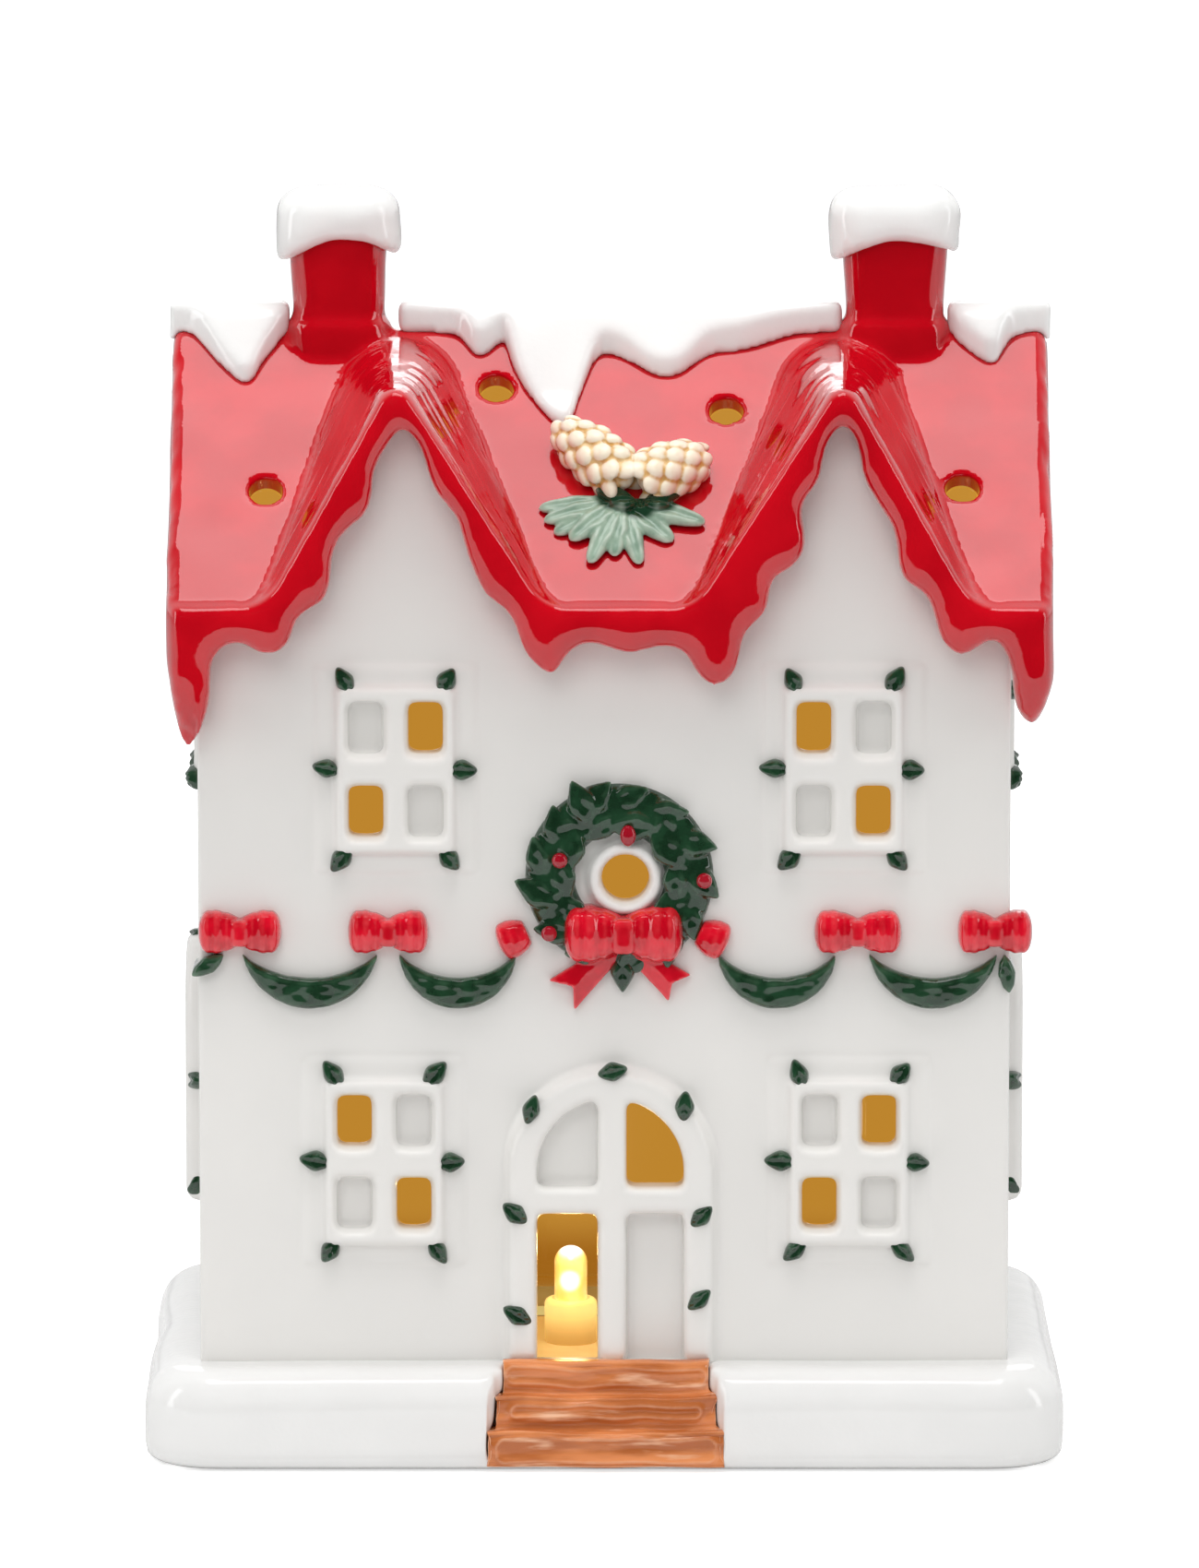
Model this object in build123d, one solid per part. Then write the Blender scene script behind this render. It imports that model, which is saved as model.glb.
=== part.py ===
from build123d import *

import math
import os

# A glazed ceramic house, cast hollow, that a small battery light glows through.
# Millimetres. +Z is up, the door looks along -Y, and the origin is on the table,
# under the middle of the base. Parts are written to parts/NODE.step.

# Snow base
base_length = 140.0
base_depth = 92.0
base_height = 15.5
base_corner_radius = 11.0
base_top_round = 6.5
base_foot_round = 2.5
base_floor_thickness = 3.5

# House walls, one casting with the same thickness all round
cast_thickness = 3.6
wall_length = 122.6
wall_depth = 70.0

# Main roof, whose eave line is the fold between the slope and the fascia
roof_length = 133.6
roof_shift = 0.9
roof_reach = 6.0
eave_height = 131.4
ridge_height = 169.5
roof_thickness = 4.0
roof_edge_round = 1.8
ridge_round = 3.0

# Twin dormers on the front slope, flaring towards the ridge
dormer_left_x = -29.85
dormer_right_x = 34.4
dormer_half_width = 21.6
dormer_outer_slope = 60.8
dormer_inner_slope = 57.3
dormer_flare = 6.8
dormer_peak_round = 3.0
dormer_ridge_round = 11.7
dormer_foot_round = 8.0
dormer_inner_round = 1.2

# Glaze that has run over the fascia in drips
drip_rise = 36.1
fascia_band = 8.4
fascia_drip = 3.4
icicle_drop = 21.8
icicle_width = 5.4

# Air holes in the front slope
vent_diameter = 5.0

# Snow along the ridge
snow_lift = 1.2
snow_crown = 5.8
snow_crown_reach = 12.0
snow_ridge_round = 5.0

# Chimneys
chimney_left_x = -40.5
chimney_right_x = 44.3
chimney_left_width = 14.2
chimney_right_width = 15.2
chimney_depth = 9.6
chimney_corner_round = 4.2
chimney_height = 185.0
chimney_root = 12.0
chimney_foot_flare = 0.9
chimney_foot_rise = 0.9
cap_overhang = 1.8
cap_height = 190.6
cap_hang = 10.0
cap_arch = 2.8
cap_round = 4.0

# Front, back and upper side windows: four panes behind raised bars
pane_width = 5.2
pane_height = 7.7
pane_pitch_x = 9.0
pane_pitch_z = 12.7
pane_corner = 1.0
pane_recess = 1.2
bar_side = 2.0
bar_end = 2.7
bar_relief = 1.5
bar_chamfer = 0.7
plate_margin = 2.7
plate_relief = 0.5
upper_window_z = 106.0
lower_window_z = 45.8
upper_left_x = -31.4
upper_right_x = 36.1
lower_left_x = -33.3
lower_right_x = 37.1
side_upper_window_z = 114.0

# Tall arched windows low on the side walls
side_arch_width = 23.0
side_arch_foot_z = 35.0
side_arch_height = 40.0
side_arch_frame = 3.6
side_arch_mullion = 3.4
side_arch_relief = 2.9
side_arch_chamfer = 1.1

# Door
door_x = 0.95
door_width = 32.0
door_height = 45.0
door_frame_width = 4.9
door_relief = 2.0
door_chamfer = 0.9
door_mullion_x = 1.2
door_mullion_width = 4.4
door_transom_z = 40.0
door_transom_height = 4.2

# Round window inside the wreath
round_window_x = 3.2
round_window_z = 89.4
round_window_bore = 7.2
round_window_dish = 11.6
round_window_relief = 1.4

# Holly leaves on the windows and door
leaf_length = 5.0
leaf_width = 3.4
leaf_lift = 1.3
leaf_chamfer = 0.55

# Wreath
wreath_x = 2.0
wreath_z = 90.0
wreath_ring_radius = 11.0
wreath_ring_width = 6.2
wreath_ring_thickness = 2.8
wreath_leaf_length = 10.6
wreath_leaf_width = 5.6
wreath_leaf_thickness = 3.6
wreath_leaf_count = 15
wreath_leaf_lean = 42.0
wreath_berry_diameter = 2.6
wreath_bow_width = 18.6
wreath_bow_height = 8.6
wreath_bow_x = 2.8
wreath_bow_z = 81.6
wreath_bow_lift = 2.2
wreath_tail_length = 12.4
wreath_tail_width = 5.8
wreath_drop_length = 6.4

# Garland
bow_z = 81.2
bow_width = 12.2
bow_height = 6.6
bow_thickness = 2.8
bow_chamfer = 0.8
bow_wrap = 4.6
swag_top_z = 78.0
swag_low_z = 69.5
swag_width = 4.7
swag_thickness = 2.2
swag_chamfer = 0.7
tail_length = 6.2
tail_width = 2.8

# Pine cones and fir sprig on the front slope
cone_base_x = 5.0
cone_base_y = -24.0
cone_left_length = 14.0
cone_right_length = 11.0
cone_radius = 4.6
cone_left_turn = 44.0
cone_right_turn = -60.0
cone_spread = 1.4
cone_sides = 9
sprig_x = 2.6
sprig_y = -26.6
sprig_leaf_length = 13.5
sprig_leaf_width = 3.8
sprig_thickness = 1.5

# Doorstep, three treads let into the front of the base
step_width_top = 30.4
step_width_foot = 34.8
step_lift = 0.5
step_rise = 4.9
step_run_share = 0.3
step_foot_z = 1.2
step_x = 0.3
step_chamfer = 0.5

# Light unit that presses into the base from below
light_x = -5.15
light_y = 0.0
socket_diameter = 40.0
seat_diameter = 48.0
seat_depth = 2.8
flange_diameter = 46.0
flange_foot_z = 0.6
flange_thickness = 2.0
housing_diameter = 37.6
housing_top_z = 10.7
housing_thickness = 1.4
post_diameter = 3.0
post_circle_radius = 13.4
seal_outer_diameter = 39.8
seal_height = 3.0
close_gap = 0.05
fit_gap = 0.2

# Lamp and its collar
collar_diameter = 8.1
collar_top_z = 17.5
collar_round = 0.9
lamp_diameter = 5.1
lamp_top_z = 25.7
lamp_rim_diameter = 5.9
lamp_rim_height = 1.0
lead_width = 0.5
lead_pitch = 2.54
lead_bore_diameter = 4.6

# Battery, board, contacts and switch
board_diameter = 33.6
board_thickness = 1.0
board_depth = 0.9
cell_diameter = 20.0
cell_height = 3.2
cell_rim = 0.5
cell_step = 1.0
cell_opening_gap = 0.5
contact_height = 1.0
contact_length = 6.6
contact_width = 4.0
contact_thickness = 0.3
clip_width = 6.0
clip_gap = 0.1
chip_length = 3.2
chip_width = 2.6
chip_height = 0.6
switch_length = 8.6
switch_width = 3.6
switch_reach = 14.3
switch_travel = 3.0
knob_size = 1.6
slot_gap = 0.3

# Battery door, which hooks in at one edge and is screwed at the other
door_plate_diameter = 25.0
door_plate_thickness = 1.4
door_pad_diameter = 18.0
door_ear_width = 6.4
door_ear_reach = 16.4
tongue_width = 7.2
tongue_thickness = 0.5
tongue_reach = 1.2
tongue_ledge = 0.65
tongue_relief = 0.8
coin_slot_length = 10.0
coin_slot_width = 1.6
coin_slot_depth = 0.6
screw_diameter = 1.8
screw_head_diameter = 3.4
screw_head_height = 0.8
screw_slot_width = 0.5
screw_slot_depth = 0.4
screw_reach = 13.9
screw_tip = 0.8
screw_play = 0.6

# One overrun serves every cut
overrun = 2.0

# The dripping edge of the front fascia, from the left corner's icicle to the
# right one's: across, as a share of half the roof's length, and up from the
# eave, as a share of the dormers' rise
front_drip_shares = [
    (-0.946, -0.60), (-0.915, -0.50), (-0.895, -0.35), (-0.877, -0.185), (-0.835, -0.155),
    (-0.781, -0.20), (-0.745, -0.19), (-0.720, -0.145), (-0.696, -0.045), (-0.640, 0.03),
    (-0.626, 0.115), (-0.620, 0.22), (-0.594, 0.31), (-0.548, 0.385), (-0.532, 0.45),
    (-0.528, 0.545), (-0.491, 0.69), (-0.464, 0.74), (-0.438, 0.70), (-0.409, 0.56),
    (-0.383, 0.455), (-0.355, 0.395), (-0.333, 0.29), (-0.301, 0.115), (-0.277, 0.045),
    (-0.235, -0.015), (-0.196, -0.175), (-0.160, -0.255), (-0.130, -0.285), (-0.110, -0.245),
    (-0.079, -0.175), (-0.051, -0.155), (0.036, -0.195), (0.115, -0.17), (0.156, -0.183),
    (0.192, -0.275), (0.237, -0.33), (0.268, -0.305), (0.288, -0.24), (0.312, -0.09),
    (0.350, -0.02), (0.371, 0.12), (0.412, 0.17), (0.440, 0.28), (0.434, 0.43),
    (0.468, 0.525), (0.493, 0.70), (0.524, 0.755), (0.548, 0.70), (0.564, 0.56),
    (0.608, 0.41), (0.632, 0.33), (0.643, 0.21), (0.656, 0.12), (0.705, 0.05),
    (0.724, -0.02), (0.752, -0.165), (0.786, -0.205), (0.815, -0.19), (0.861, -0.14),
    (0.889, -0.20), (0.905, -0.34), (0.921, -0.46), (0.945, -0.50),
]

# Where the fascia's shoulder and its side edge lie, as shares of the band below the eave
fascia_shoulder_share = 0.6
fascia_edge_share = 0.75

# The form of one drip: along its width, and how far it hangs, as shares of the whole
drip_lobe_shares = [(0.18, 0.12), (0.5, 1.0), (0.82, 0.12)]

# How far each drip of the side and back edges hangs, as a share of the full drip
side_drip_shares = [0.55, 0.95, 0.40, 0.80, 0.60]
back_drip_shares = [0.70, 0.35, 1.00, 0.55, 0.85, 0.30, 0.65, 0.95, 0.45, 0.80, 0.60]

# Air holes: across, as a share of half the roof's length, and up the slope
vent_shares = [(-0.778, 0.41), (-0.260, 0.77), (0.264, 0.69), (0.796, 0.42)]

# The lower edge of each patch of ridge snow: across, as above, and out from the
# ridge, as a share of the slope's plan depth
snow_left_shares = [
    (-1.03, 0.03), (-0.955, 0.045), (-0.895, 0.14), (-0.864, 0.185), (-0.826, 0.215),
    (-0.800, 0.165), (-0.780, 0.12), (-0.755, 0.075), (-0.73, 0.03),
]
snow_middle_shares = [
    (-0.475, 0.03), (-0.400, 0.035), (-0.330, 0.075), (-0.298, 0.12), (-0.245, 0.075),
    (-0.213, 0.17), (-0.181, 0.265), (-0.129, 0.355), (-0.103, 0.37), (-0.076, 0.29),
    (-0.045, 0.17), (-0.028, 0.13), (0.039, 0.14), (0.091, 0.185), (0.154, 0.19),
    (0.217, 0.125), (0.292, 0.105), (0.376, 0.07), (0.440, 0.045), (0.53, 0.03),
]
snow_right_shares = [
    (0.775, 0.03), (0.800, 0.08), (0.834, 0.12), (0.870, 0.145), (0.901, 0.08),
    (0.945, 0.035), (1.03, 0.03),
]
snow_back_share = 0.75

# Holly leaf outline: across and along, as shares of its width and length
leaf_outline_shares = [
    (0.00, -0.50), (0.34, -0.30), (0.50, 0.00), (0.32, 0.32),
    (0.00, 0.50), (-0.34, 0.28), (-0.50, -0.04), (-0.32, -0.32),
]

# Leaves round a window: across and up, as shares of half the bars' frame, and
# the way the leaf points, in degrees
window_leaf_shares = [
    (-0.84, 1.05, 28.0), (0.84, 1.05, -32.0), (-1.14, 0.02, 82.0),
    (1.10, 0.00, 96.0), (-0.90, -1.05, -38.0), (0.88, -1.05, 38.0),
]

# Leaves round an arched frame: as above, of its half width and its height
arch_leaf_shares = [
    (0.02, 0.99, 5.0), (-0.75, 0.86, 20.0), (0.70, 0.87, -28.0), (-0.90, 0.505, 62.0),
    (0.86, 0.495, -52.0), (-0.88, 0.155, 58.0), (0.84, 0.21, -48.0),
]
side_leaf_shares = [
    (0.0, 0.98, 0.0), (-0.95, 0.47, 80.0), (0.95, 0.47, 98.0), (-0.9, 0.05, 40.0), (0.9, 0.05, -40.0),
]

# One loop of a bow: out from the knot and up, as shares of half its width and
# of its height
loop_outline_shares = [
    (0.10, 0.20), (0.42, 0.40), (0.80, 0.50), (0.96, 0.40), (1.00, 0.00),
    (0.96, -0.38), (0.80, -0.50), (0.42, -0.38), (0.10, -0.22),
]
# The knot's height as a share of its bow's, and the loops' lift as a share of the knot's
knot_share = 0.72
loop_lift_share = 0.85

# A notched ribbon tail: across and along, as shares of its width and length
tail_outline_shares = [(-0.24, 0.00), (0.24, 0.00), (0.50, 0.98), (0.04, 0.80), (-0.50, 1.00)]

# Garland bows along the front, from the middle of the wall, as shares of half
# its length, with each one's width as a share of a full bow
bow_place_shares = [
    (-0.898, 1.0), (-0.532, 0.97), (-0.224, 0.42), (0.266, 0.46), (0.624, 1.05), (0.962, 0.90),
]

# A bow narrower than this share of a full one has a single loop
half_bow_share = 0.5

# The way each tail of the wreath's bow points, in degrees
wreath_tail_turns = (130.0, -129.0)

# Short garland ends: across the wall, as bows, and the way each points
tail_place_shares = [(-0.935, 124.0), (0.985, 188.0)]

# Swags: left end, lowest point and right end, as shares of half the wall's length
swag_place_shares = [
    (-0.892, -0.735, -0.556), (-0.506, -0.355, -0.215), (0.279, 0.430, 0.573), (0.651, 0.810, 0.969),
]

# Berries on the wreath: the way round from the right, in degrees, and how far
# out, as a share of the ring's radius
berry_place_shares = [(86.0, 0.78), (164.0, 1.02), (12.0, 1.06), (217.0, 1.12)]

# A scale's tip as a share of its root, and the radius of a pine cone along its length
scale_tip_share = 0.9
cone_profile_shares = [(0.00, 0.62), (0.20, 1.00), (0.45, 0.96), (0.68, 0.74), (0.87, 0.46), (1.00, 0.16)]

# Fir sprig: the way each needle bunch points, in degrees from up the slope, and
# its length as a share of the longest
sprig_leaf_shares = [
    (95.0, 0.98), (107.0, 0.96), (120.0, 0.92), (134.0, 0.84), (158.0, 1.00), (174.0, 0.82),
    (193.0, 0.92), (226.0, 0.70), (256.0, 0.84),
]

# Sizes that follow from those above
wall_front = -wall_depth / 2
wall_half = wall_length / 2
landing_depth = base_depth / 2 + wall_front - door_relief
step_run = step_run_share * landing_depth
roof_half = roof_length / 2
roof_half_depth = wall_depth / 2 + roof_reach
roof_slope = math.degrees(math.atan2(ridge_height - eave_height, roof_half_depth))
slope_length = math.hypot(ridge_height - eave_height, roof_half_depth)
icicle_tip_z = eave_height - icicle_drop
interior_length = wall_length - 2 * cast_thickness
interior_depth = wall_depth - 2 * cast_thickness
bars_width = pane_pitch_x + pane_width + 2 * bar_side
bars_height = pane_pitch_z + pane_height + 2 * bar_end
flange_top_z = flange_foot_z + flange_thickness
board_top_z = housing_top_z - housing_thickness - board_depth
board_foot_z = board_top_z - board_thickness
cell_top_z = board_foot_z - contact_height
cell_foot_z = cell_top_z - cell_height
door_plate_top_z = flange_foot_z + door_plate_thickness
lamp_foot_z = collar_top_z - lamp_rim_height
hinge_y = light_y - door_plate_diameter / 2 - fit_gap
hinge_z = flange_foot_z + tongue_ledge

# The front slope: x runs along the eave, y up the slope and z out of it
front_slope = Plane(
    origin=(0, -roof_half_depth, eave_height),
    x_dir=(1, 0, 0),
    z_dir=(0, -math.sin(math.radians(roof_slope)), math.cos(math.radians(roof_slope))),
)


def block(x_range, y_range, z_range):
    """Return a box between pairs of coordinates."""
    size = [high - low for low, high in (x_range, y_range, z_range)]
    middle = [(low + high) / 2 for low, high in (x_range, y_range, z_range)]
    return Pos(*middle) * Box(*size)


def front_prism(face, y_front, y_back):
    """Extrude a face drawn in X and Z from y_front back to y_back."""
    return extrude(Plane.XZ.offset(-y_back) * face, y_back - y_front)


def side_prism(face, x_low, x_high):
    """Extrude a face drawn in Y and Z from x_low to x_high."""
    return extrude(Plane.YZ.offset(x_low) * face, x_high - x_low)


def polygon(points):
    """Return a face with straight sides."""
    return make_face(Polyline(*points, close=True))


def relief(face, thickness, edge):
    """Return a flat ornament that lies on Z = 0, with its upper edge chamfered."""
    body = extrude(face, thickness)
    return chamfer(body.faces().sort_by(Axis.Z)[-1].edges(), edge)


def on_wall(side, along, z, turn=0.0):
    """Return the frame of an ornament on the front, back, left or right wall."""
    turns = {"front": 0, "right": 90, "back": 180, "left": 270}
    reach = wall_half if side in ("left", "right") else wall_depth / 2
    front = Plane(origin=(along, -reach, z), x_dir=(1, 0, 0), z_dir=(0, -1, 0))
    return Rot(0, 0, turns[side]) * front.location * Rot(0, 0, turn)


# Snow base
def build_base():
    """Return the hollow snow base, open into the walls and to the light's socket."""
    slab = extrude(RectangleRounded(base_length, base_depth, base_corner_radius), base_height)
    slab = fillet(slab.faces().sort_by(Axis.Z)[-1].edges(), base_top_round)
    slab = fillet(slab.faces().sort_by(Axis.Z)[0].edges(), base_foot_round)
    floor_z = seat_depth + base_floor_thickness
    skirt = cast_thickness + base_foot_round / 2
    hollow = block(
        (skirt - base_length / 2, base_length / 2 - skirt),
        (skirt - base_depth / 2, base_depth / 2 - skirt),
        (floor_z, base_height - cast_thickness),
    )
    boss_half = step_width_foot / 2 + cast_thickness
    hollow -= block(
        (step_x - boss_half, step_x + boss_half),
        (-base_depth / 2, -interior_depth / 2),
        (0, base_height),
    )
    well = block(
        (-interior_length / 2, interior_length / 2),
        (-interior_depth / 2, interior_depth / 2),
        (floor_z, base_height + overrun),
    )
    socket = Pos(light_x, light_y, 0) * extrude(Circle(socket_diameter / 2), base_height)
    seat = Pos(light_x, light_y, -overrun) * extrude(Circle(seat_diameter / 2), seat_depth + overrun)
    body = slab - hollow - well - socket - seat
    for cut in step_blocks() + step_notch():
        body -= cut
    return body


def treads():
    """Return each tread's width, front and top, from the lowest to the highest."""
    rows = []
    for index in range(3):
        down = 2 - index
        width = step_width_top + (step_width_foot - step_width_top) * down / 2
        rows.append((width, index * step_run - base_depth / 2, base_height + step_lift - down * step_rise))
    return rows


def step_blocks():
    """Return the three treads as plain blocks, each from its own foot up."""
    blocks = []
    for index, (width, front, top) in enumerate(treads()):
        low = top - step_rise if index else step_foot_z
        sides = (step_x - width / 2, step_x + width / 2)
        blocks.append(block(sides, (front, wall_front - door_relief), (low, top)))
    return blocks


def step_notch():
    """Return what the base loses to the doorstep: the treads and all above them."""
    cuts = []
    for width, front, top in treads():
        sides = (step_x - width / 2, step_x + width / 2)
        cuts.append(block(sides, (front - overrun, front + step_run), (top, base_height + overrun)))
    return cuts


def build_steps():
    """Return the doorstep, with worn tread edges."""
    body = None
    for piece in step_blocks():
        nose = piece.edges().filter_by(Axis.X).sort_by(lambda edge: edge.center().Z - edge.center().Y)[-1]
        piece = chamfer(nose, min(step_chamfer, step_run / 2))
        body = piece if body is None else body + piece
    return body


# Roof and walls
def dormer_face(side, half_width, peak_round, foot_round, inset):
    """Return a dormer's outline in X and Z, about its own middle line.

    side is -1 for the left dormer and 1 for the right one, whose outer flank is
    the steeper one on both.
    """
    outer = math.tan(math.radians(dormer_outer_slope))
    inner = math.tan(math.radians(dormer_inner_slope))
    outer_foot = half_width - inset / math.sin(math.radians(dormer_outer_slope))
    inner_foot = half_width - inset / math.sin(math.radians(dormer_inner_slope))
    rise = (outer_foot + inner_foot) / (1 / outer + 1 / inner)
    apex = outer_foot - rise / outer
    wing = foot_round + overrun
    base_z = eave_height
    low_z = eave_height - roof_thickness
    points = [
        (side * (outer_foot + wing), base_z), (side * outer_foot, base_z),
        (side * apex, base_z + rise),
        (-side * inner_foot, base_z), (-side * (inner_foot + wing), base_z),
        (-side * (inner_foot + wing), low_z), (side * (outer_foot + wing), low_z),
    ]
    face = polygon(points)
    feet = [
        v for v in face.vertices()
        if low_z + roof_thickness / 2 < v.Y < base_z + rise / 2 and abs(v.X) < half_width + wing / 4
    ]
    face = fillet(feet, foot_round)
    peak = face.vertices().sort_by(Axis.Y)[-1]
    return fillet(peak, peak_round)


def dormer_body(side, inset=0.0):
    """Return a dormer, lofted from its gable back to the ridge, where it is wider."""
    middle = dormer_left_x if side < 0 else dormer_right_x
    peak = dormer_peak_round if inset == 0 else dormer_inner_round
    front = dormer_face(side, dormer_half_width, peak, dormer_foot_round, inset)
    back = dormer_face(
        side, dormer_half_width + dormer_flare, dormer_ridge_round - inset, dormer_foot_round, inset
    )
    return Pos(middle, 0, 0) * loft([Plane.XZ.offset(roof_half_depth) * front, Plane.XZ * back], ruled=True)


def roof_profile(lift, low_z, half_depth):
    """Return the main roof's gable outline in Y and Z, raised by lift off the slopes."""
    rise = (ridge_height - eave_height) / roof_half_depth
    shift = lift / math.cos(math.radians(roof_slope))
    edge_z = ridge_height + shift - rise * half_depth
    face = polygon([
        (-half_depth, low_z), (-half_depth, edge_z), (0, ridge_height + shift),
        (half_depth, edge_z), (half_depth, low_z),
    ])
    return fillet(face.vertices().sort_by(Axis.Y)[-1], ridge_round)


def roof_outside():
    """Return the whole roof as one block, with its dormers, before it is hollowed."""
    profile = roof_profile(0, icicle_tip_z, roof_half_depth)
    folds = [v for v in profile.vertices() if abs(v.Y - eave_height) < roof_edge_round / 2]
    profile = fillet(folds, roof_edge_round)
    body = side_prism(profile, roof_shift - roof_half, roof_shift + roof_half)
    ends = body.faces().sort_by(Axis.X)
    rims = [
        e for face in (ends[0], ends[-1]) for e in face.edges()
        if e.center().Z > icicle_tip_z + overrun / 2
    ]
    body = fillet(rims, roof_edge_round)
    plan = block(
        (roof_shift - roof_half + roof_edge_round, roof_shift + roof_half - roof_edge_round),
        (-roof_half_depth, roof_half_depth),
        (icicle_tip_z, 2 * ridge_height),
    )
    for side in (-1, 1):
        body += dormer_body(side) & plan
    return body


def under_roof():
    """Return all that lies inside the walls' plan and under the roof's inner face."""
    profile = roof_profile(-roof_thickness, base_height, wall_depth / 2)
    body = side_prism(profile, -wall_half, wall_half)
    plan = block((-wall_half, wall_half), (wall_front, -wall_front), (base_height, ridge_height))
    for side in (-1, 1):
        body += dormer_body(side, roof_thickness) & plan
    return body


def drip_line(start, end, drop_shares):
    """Return points of a dripping edge from start to end, hanging below that line."""
    points = [start]
    count = len(drop_shares)
    for index, share in enumerate(drop_shares):
        for part, hang in drip_lobe_shares:
            along = (index + part) / count
            across = start[0] + (end[0] - start[0]) * along
            up = start[1] + (end[1] - start[1]) * along
            points.append((across, up - fascia_drip * share * hang))
    return points + [end]


def front_drip_cut():
    """Return what lies below the front fascia's dripping edge."""
    points = [
        (roof_shift + across * roof_half, eave_height + up * drip_rise)
        for across, up in front_drip_shares
    ]
    left, right = roof_shift - roof_half, roof_shift + roof_half
    shoulder_z = eave_height - fascia_band * fascia_shoulder_share
    knee_z = icicle_tip_z + icicle_drop / 3
    left_side = [(left - overrun / 2, shoulder_z), (left + overrun / 2, knee_z), points[0]]
    right_side = [points[-1], (right - overrun / 2, knee_z), (right + overrun / 2, shoulder_z)]
    low_z = icicle_tip_z - overrun
    edge = Spline(*left_side[:2], *points, *right_side[1:])
    rim = Polyline(
        right_side[-1], (right + overrun, shoulder_z), (right + overrun, low_z),
        (left - overrun, low_z), (left - overrun, shoulder_z), left_side[0],
    )
    face = make_face([edge, rim])
    return front_prism(face, -roof_half_depth - overrun, wall_front)


def slope_z(y):
    """Return the height of the main roof's outer face at a place y."""
    return ridge_height - abs(y) * (ridge_height - eave_height) / roof_half_depth


def side_drip_cut():
    """Return what lies below the barge edges, drawn in Y and Z, with four icicles."""
    foot = roof_half_depth
    inner = foot - icicle_width
    shoulder_z = eave_height - fascia_band * fascia_shoulder_share
    rise_start = (-inner + overrun / 2, slope_z(inner) - fascia_band)
    peak = (0, ridge_height - fascia_band)
    up_side = drip_line(rise_start, peak, side_drip_shares)
    icicle = [
        (-foot - overrun / 2, shoulder_z), (-foot + overrun / 3, icicle_tip_z + icicle_drop / 3),
        (-foot + icicle_width / 2, icicle_tip_z), (-inner - overrun / 4, icicle_tip_z + icicle_drop / 2),
    ]
    half = icicle + up_side
    other = [(-y, z) for y, z in reversed(half[:-1])]
    edge = Spline(*half, *other)
    low_z = icicle_tip_z - overrun
    rim = Polyline(
        other[-1], (foot + overrun, shoulder_z), (foot + overrun, low_z),
        (-foot - overrun, low_z), (-foot - overrun, shoulder_z), half[0],
    )
    return make_face([edge, rim])


def back_drip_cut():
    """Return what lies below the back fascia's dripping edge."""
    left, right = roof_shift - roof_half, roof_shift + roof_half
    inner = icicle_width
    shoulder_z = eave_height - fascia_band * fascia_shoulder_share
    edge_z = eave_height - fascia_band * fascia_edge_share
    line = drip_line((left + inner, edge_z), (right - inner, edge_z), back_drip_shares)
    left_side = [
        (left - overrun / 2, shoulder_z), (left + overrun / 3, icicle_tip_z + icicle_drop / 3),
        (left + icicle_width / 2, icicle_tip_z),
    ]
    right_side = [(left + right - x, z) for x, z in reversed(left_side)]
    edge = Spline(*left_side, *line, *right_side)
    low_z = icicle_tip_z - overrun
    rim = Polyline(
        right_side[-1], (right + overrun, shoulder_z), (right + overrun, low_z),
        (left - overrun, low_z), (left - overrun, shoulder_z), left_side[0],
    )
    return front_prism(make_face([edge, rim]), -wall_front, roof_half_depth + overrun)


def vent_holes():
    """Return the four air holes, square to the front slope."""
    holes = []
    for across, up in vent_shares:
        place = Pos(roof_shift + across * roof_half, up * slope_length, -2 * roof_thickness)
        holes.append(front_slope.location * place * extrude(Circle(vent_diameter / 2), 4 * roof_thickness))
    return holes


def build_roof(outside, under):
    """Return the roof shell: its outer block, hollowed and cut to its drips."""
    left, right = roof_shift - roof_half, roof_shift + roof_half
    side_face = side_drip_cut()
    body = outside - under - front_drip_cut() - back_drip_cut()
    body -= side_prism(side_face, left - overrun, -wall_half)
    body -= side_prism(side_face, wall_half, right + overrun)
    for hole in vent_holes():
        body -= hole
    return body


def build_walls(under):
    """Return the walls, with their gables, panes, door and round window."""
    interior = block(
        (-interior_length / 2, interior_length / 2),
        (-interior_depth / 2, interior_depth / 2),
        (base_height - overrun, ridge_height),
    )
    body = under - interior
    for cut in wall_cuts():
        body -= cut
    return body


def pane_cut(frame, x, z, pierced):
    """Return one pane's cut: through the wall, or only a shallow recess."""
    depth = 2 * cast_thickness if pierced else pane_recess
    face = RectangleRounded(pane_width, pane_height, pane_corner)
    return frame * Pos(x, z, -depth) * extrude(face, depth + overrun)


def window_cuts(frame, pierced):
    """Return the four pane cuts of a window, of which two are pierced."""
    cuts = []
    for column in (-1, 1):
        for row in (-1, 1):
            is_open = (column, row) in pierced
            cuts.append(pane_cut(frame, column * pane_pitch_x / 2, row * pane_pitch_z / 2, is_open))
    return cuts


falling = ((1, -1), (-1, 1))
rising = ((1, 1), (-1, -1))
front_windows = {
    "window_upper_left": (upper_left_x, upper_window_z, rising),
    "window_upper_right": (upper_right_x, upper_window_z, falling),
    "window_lower_left": (lower_left_x, lower_window_z, falling),
    "window_lower_right": (lower_right_x, lower_window_z, rising),
}
back_windows = [
    (upper_left_x, upper_window_z, falling), (upper_right_x, upper_window_z, falling),
    (lower_left_x, lower_window_z, rising), (lower_right_x, lower_window_z, rising),
]


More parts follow.
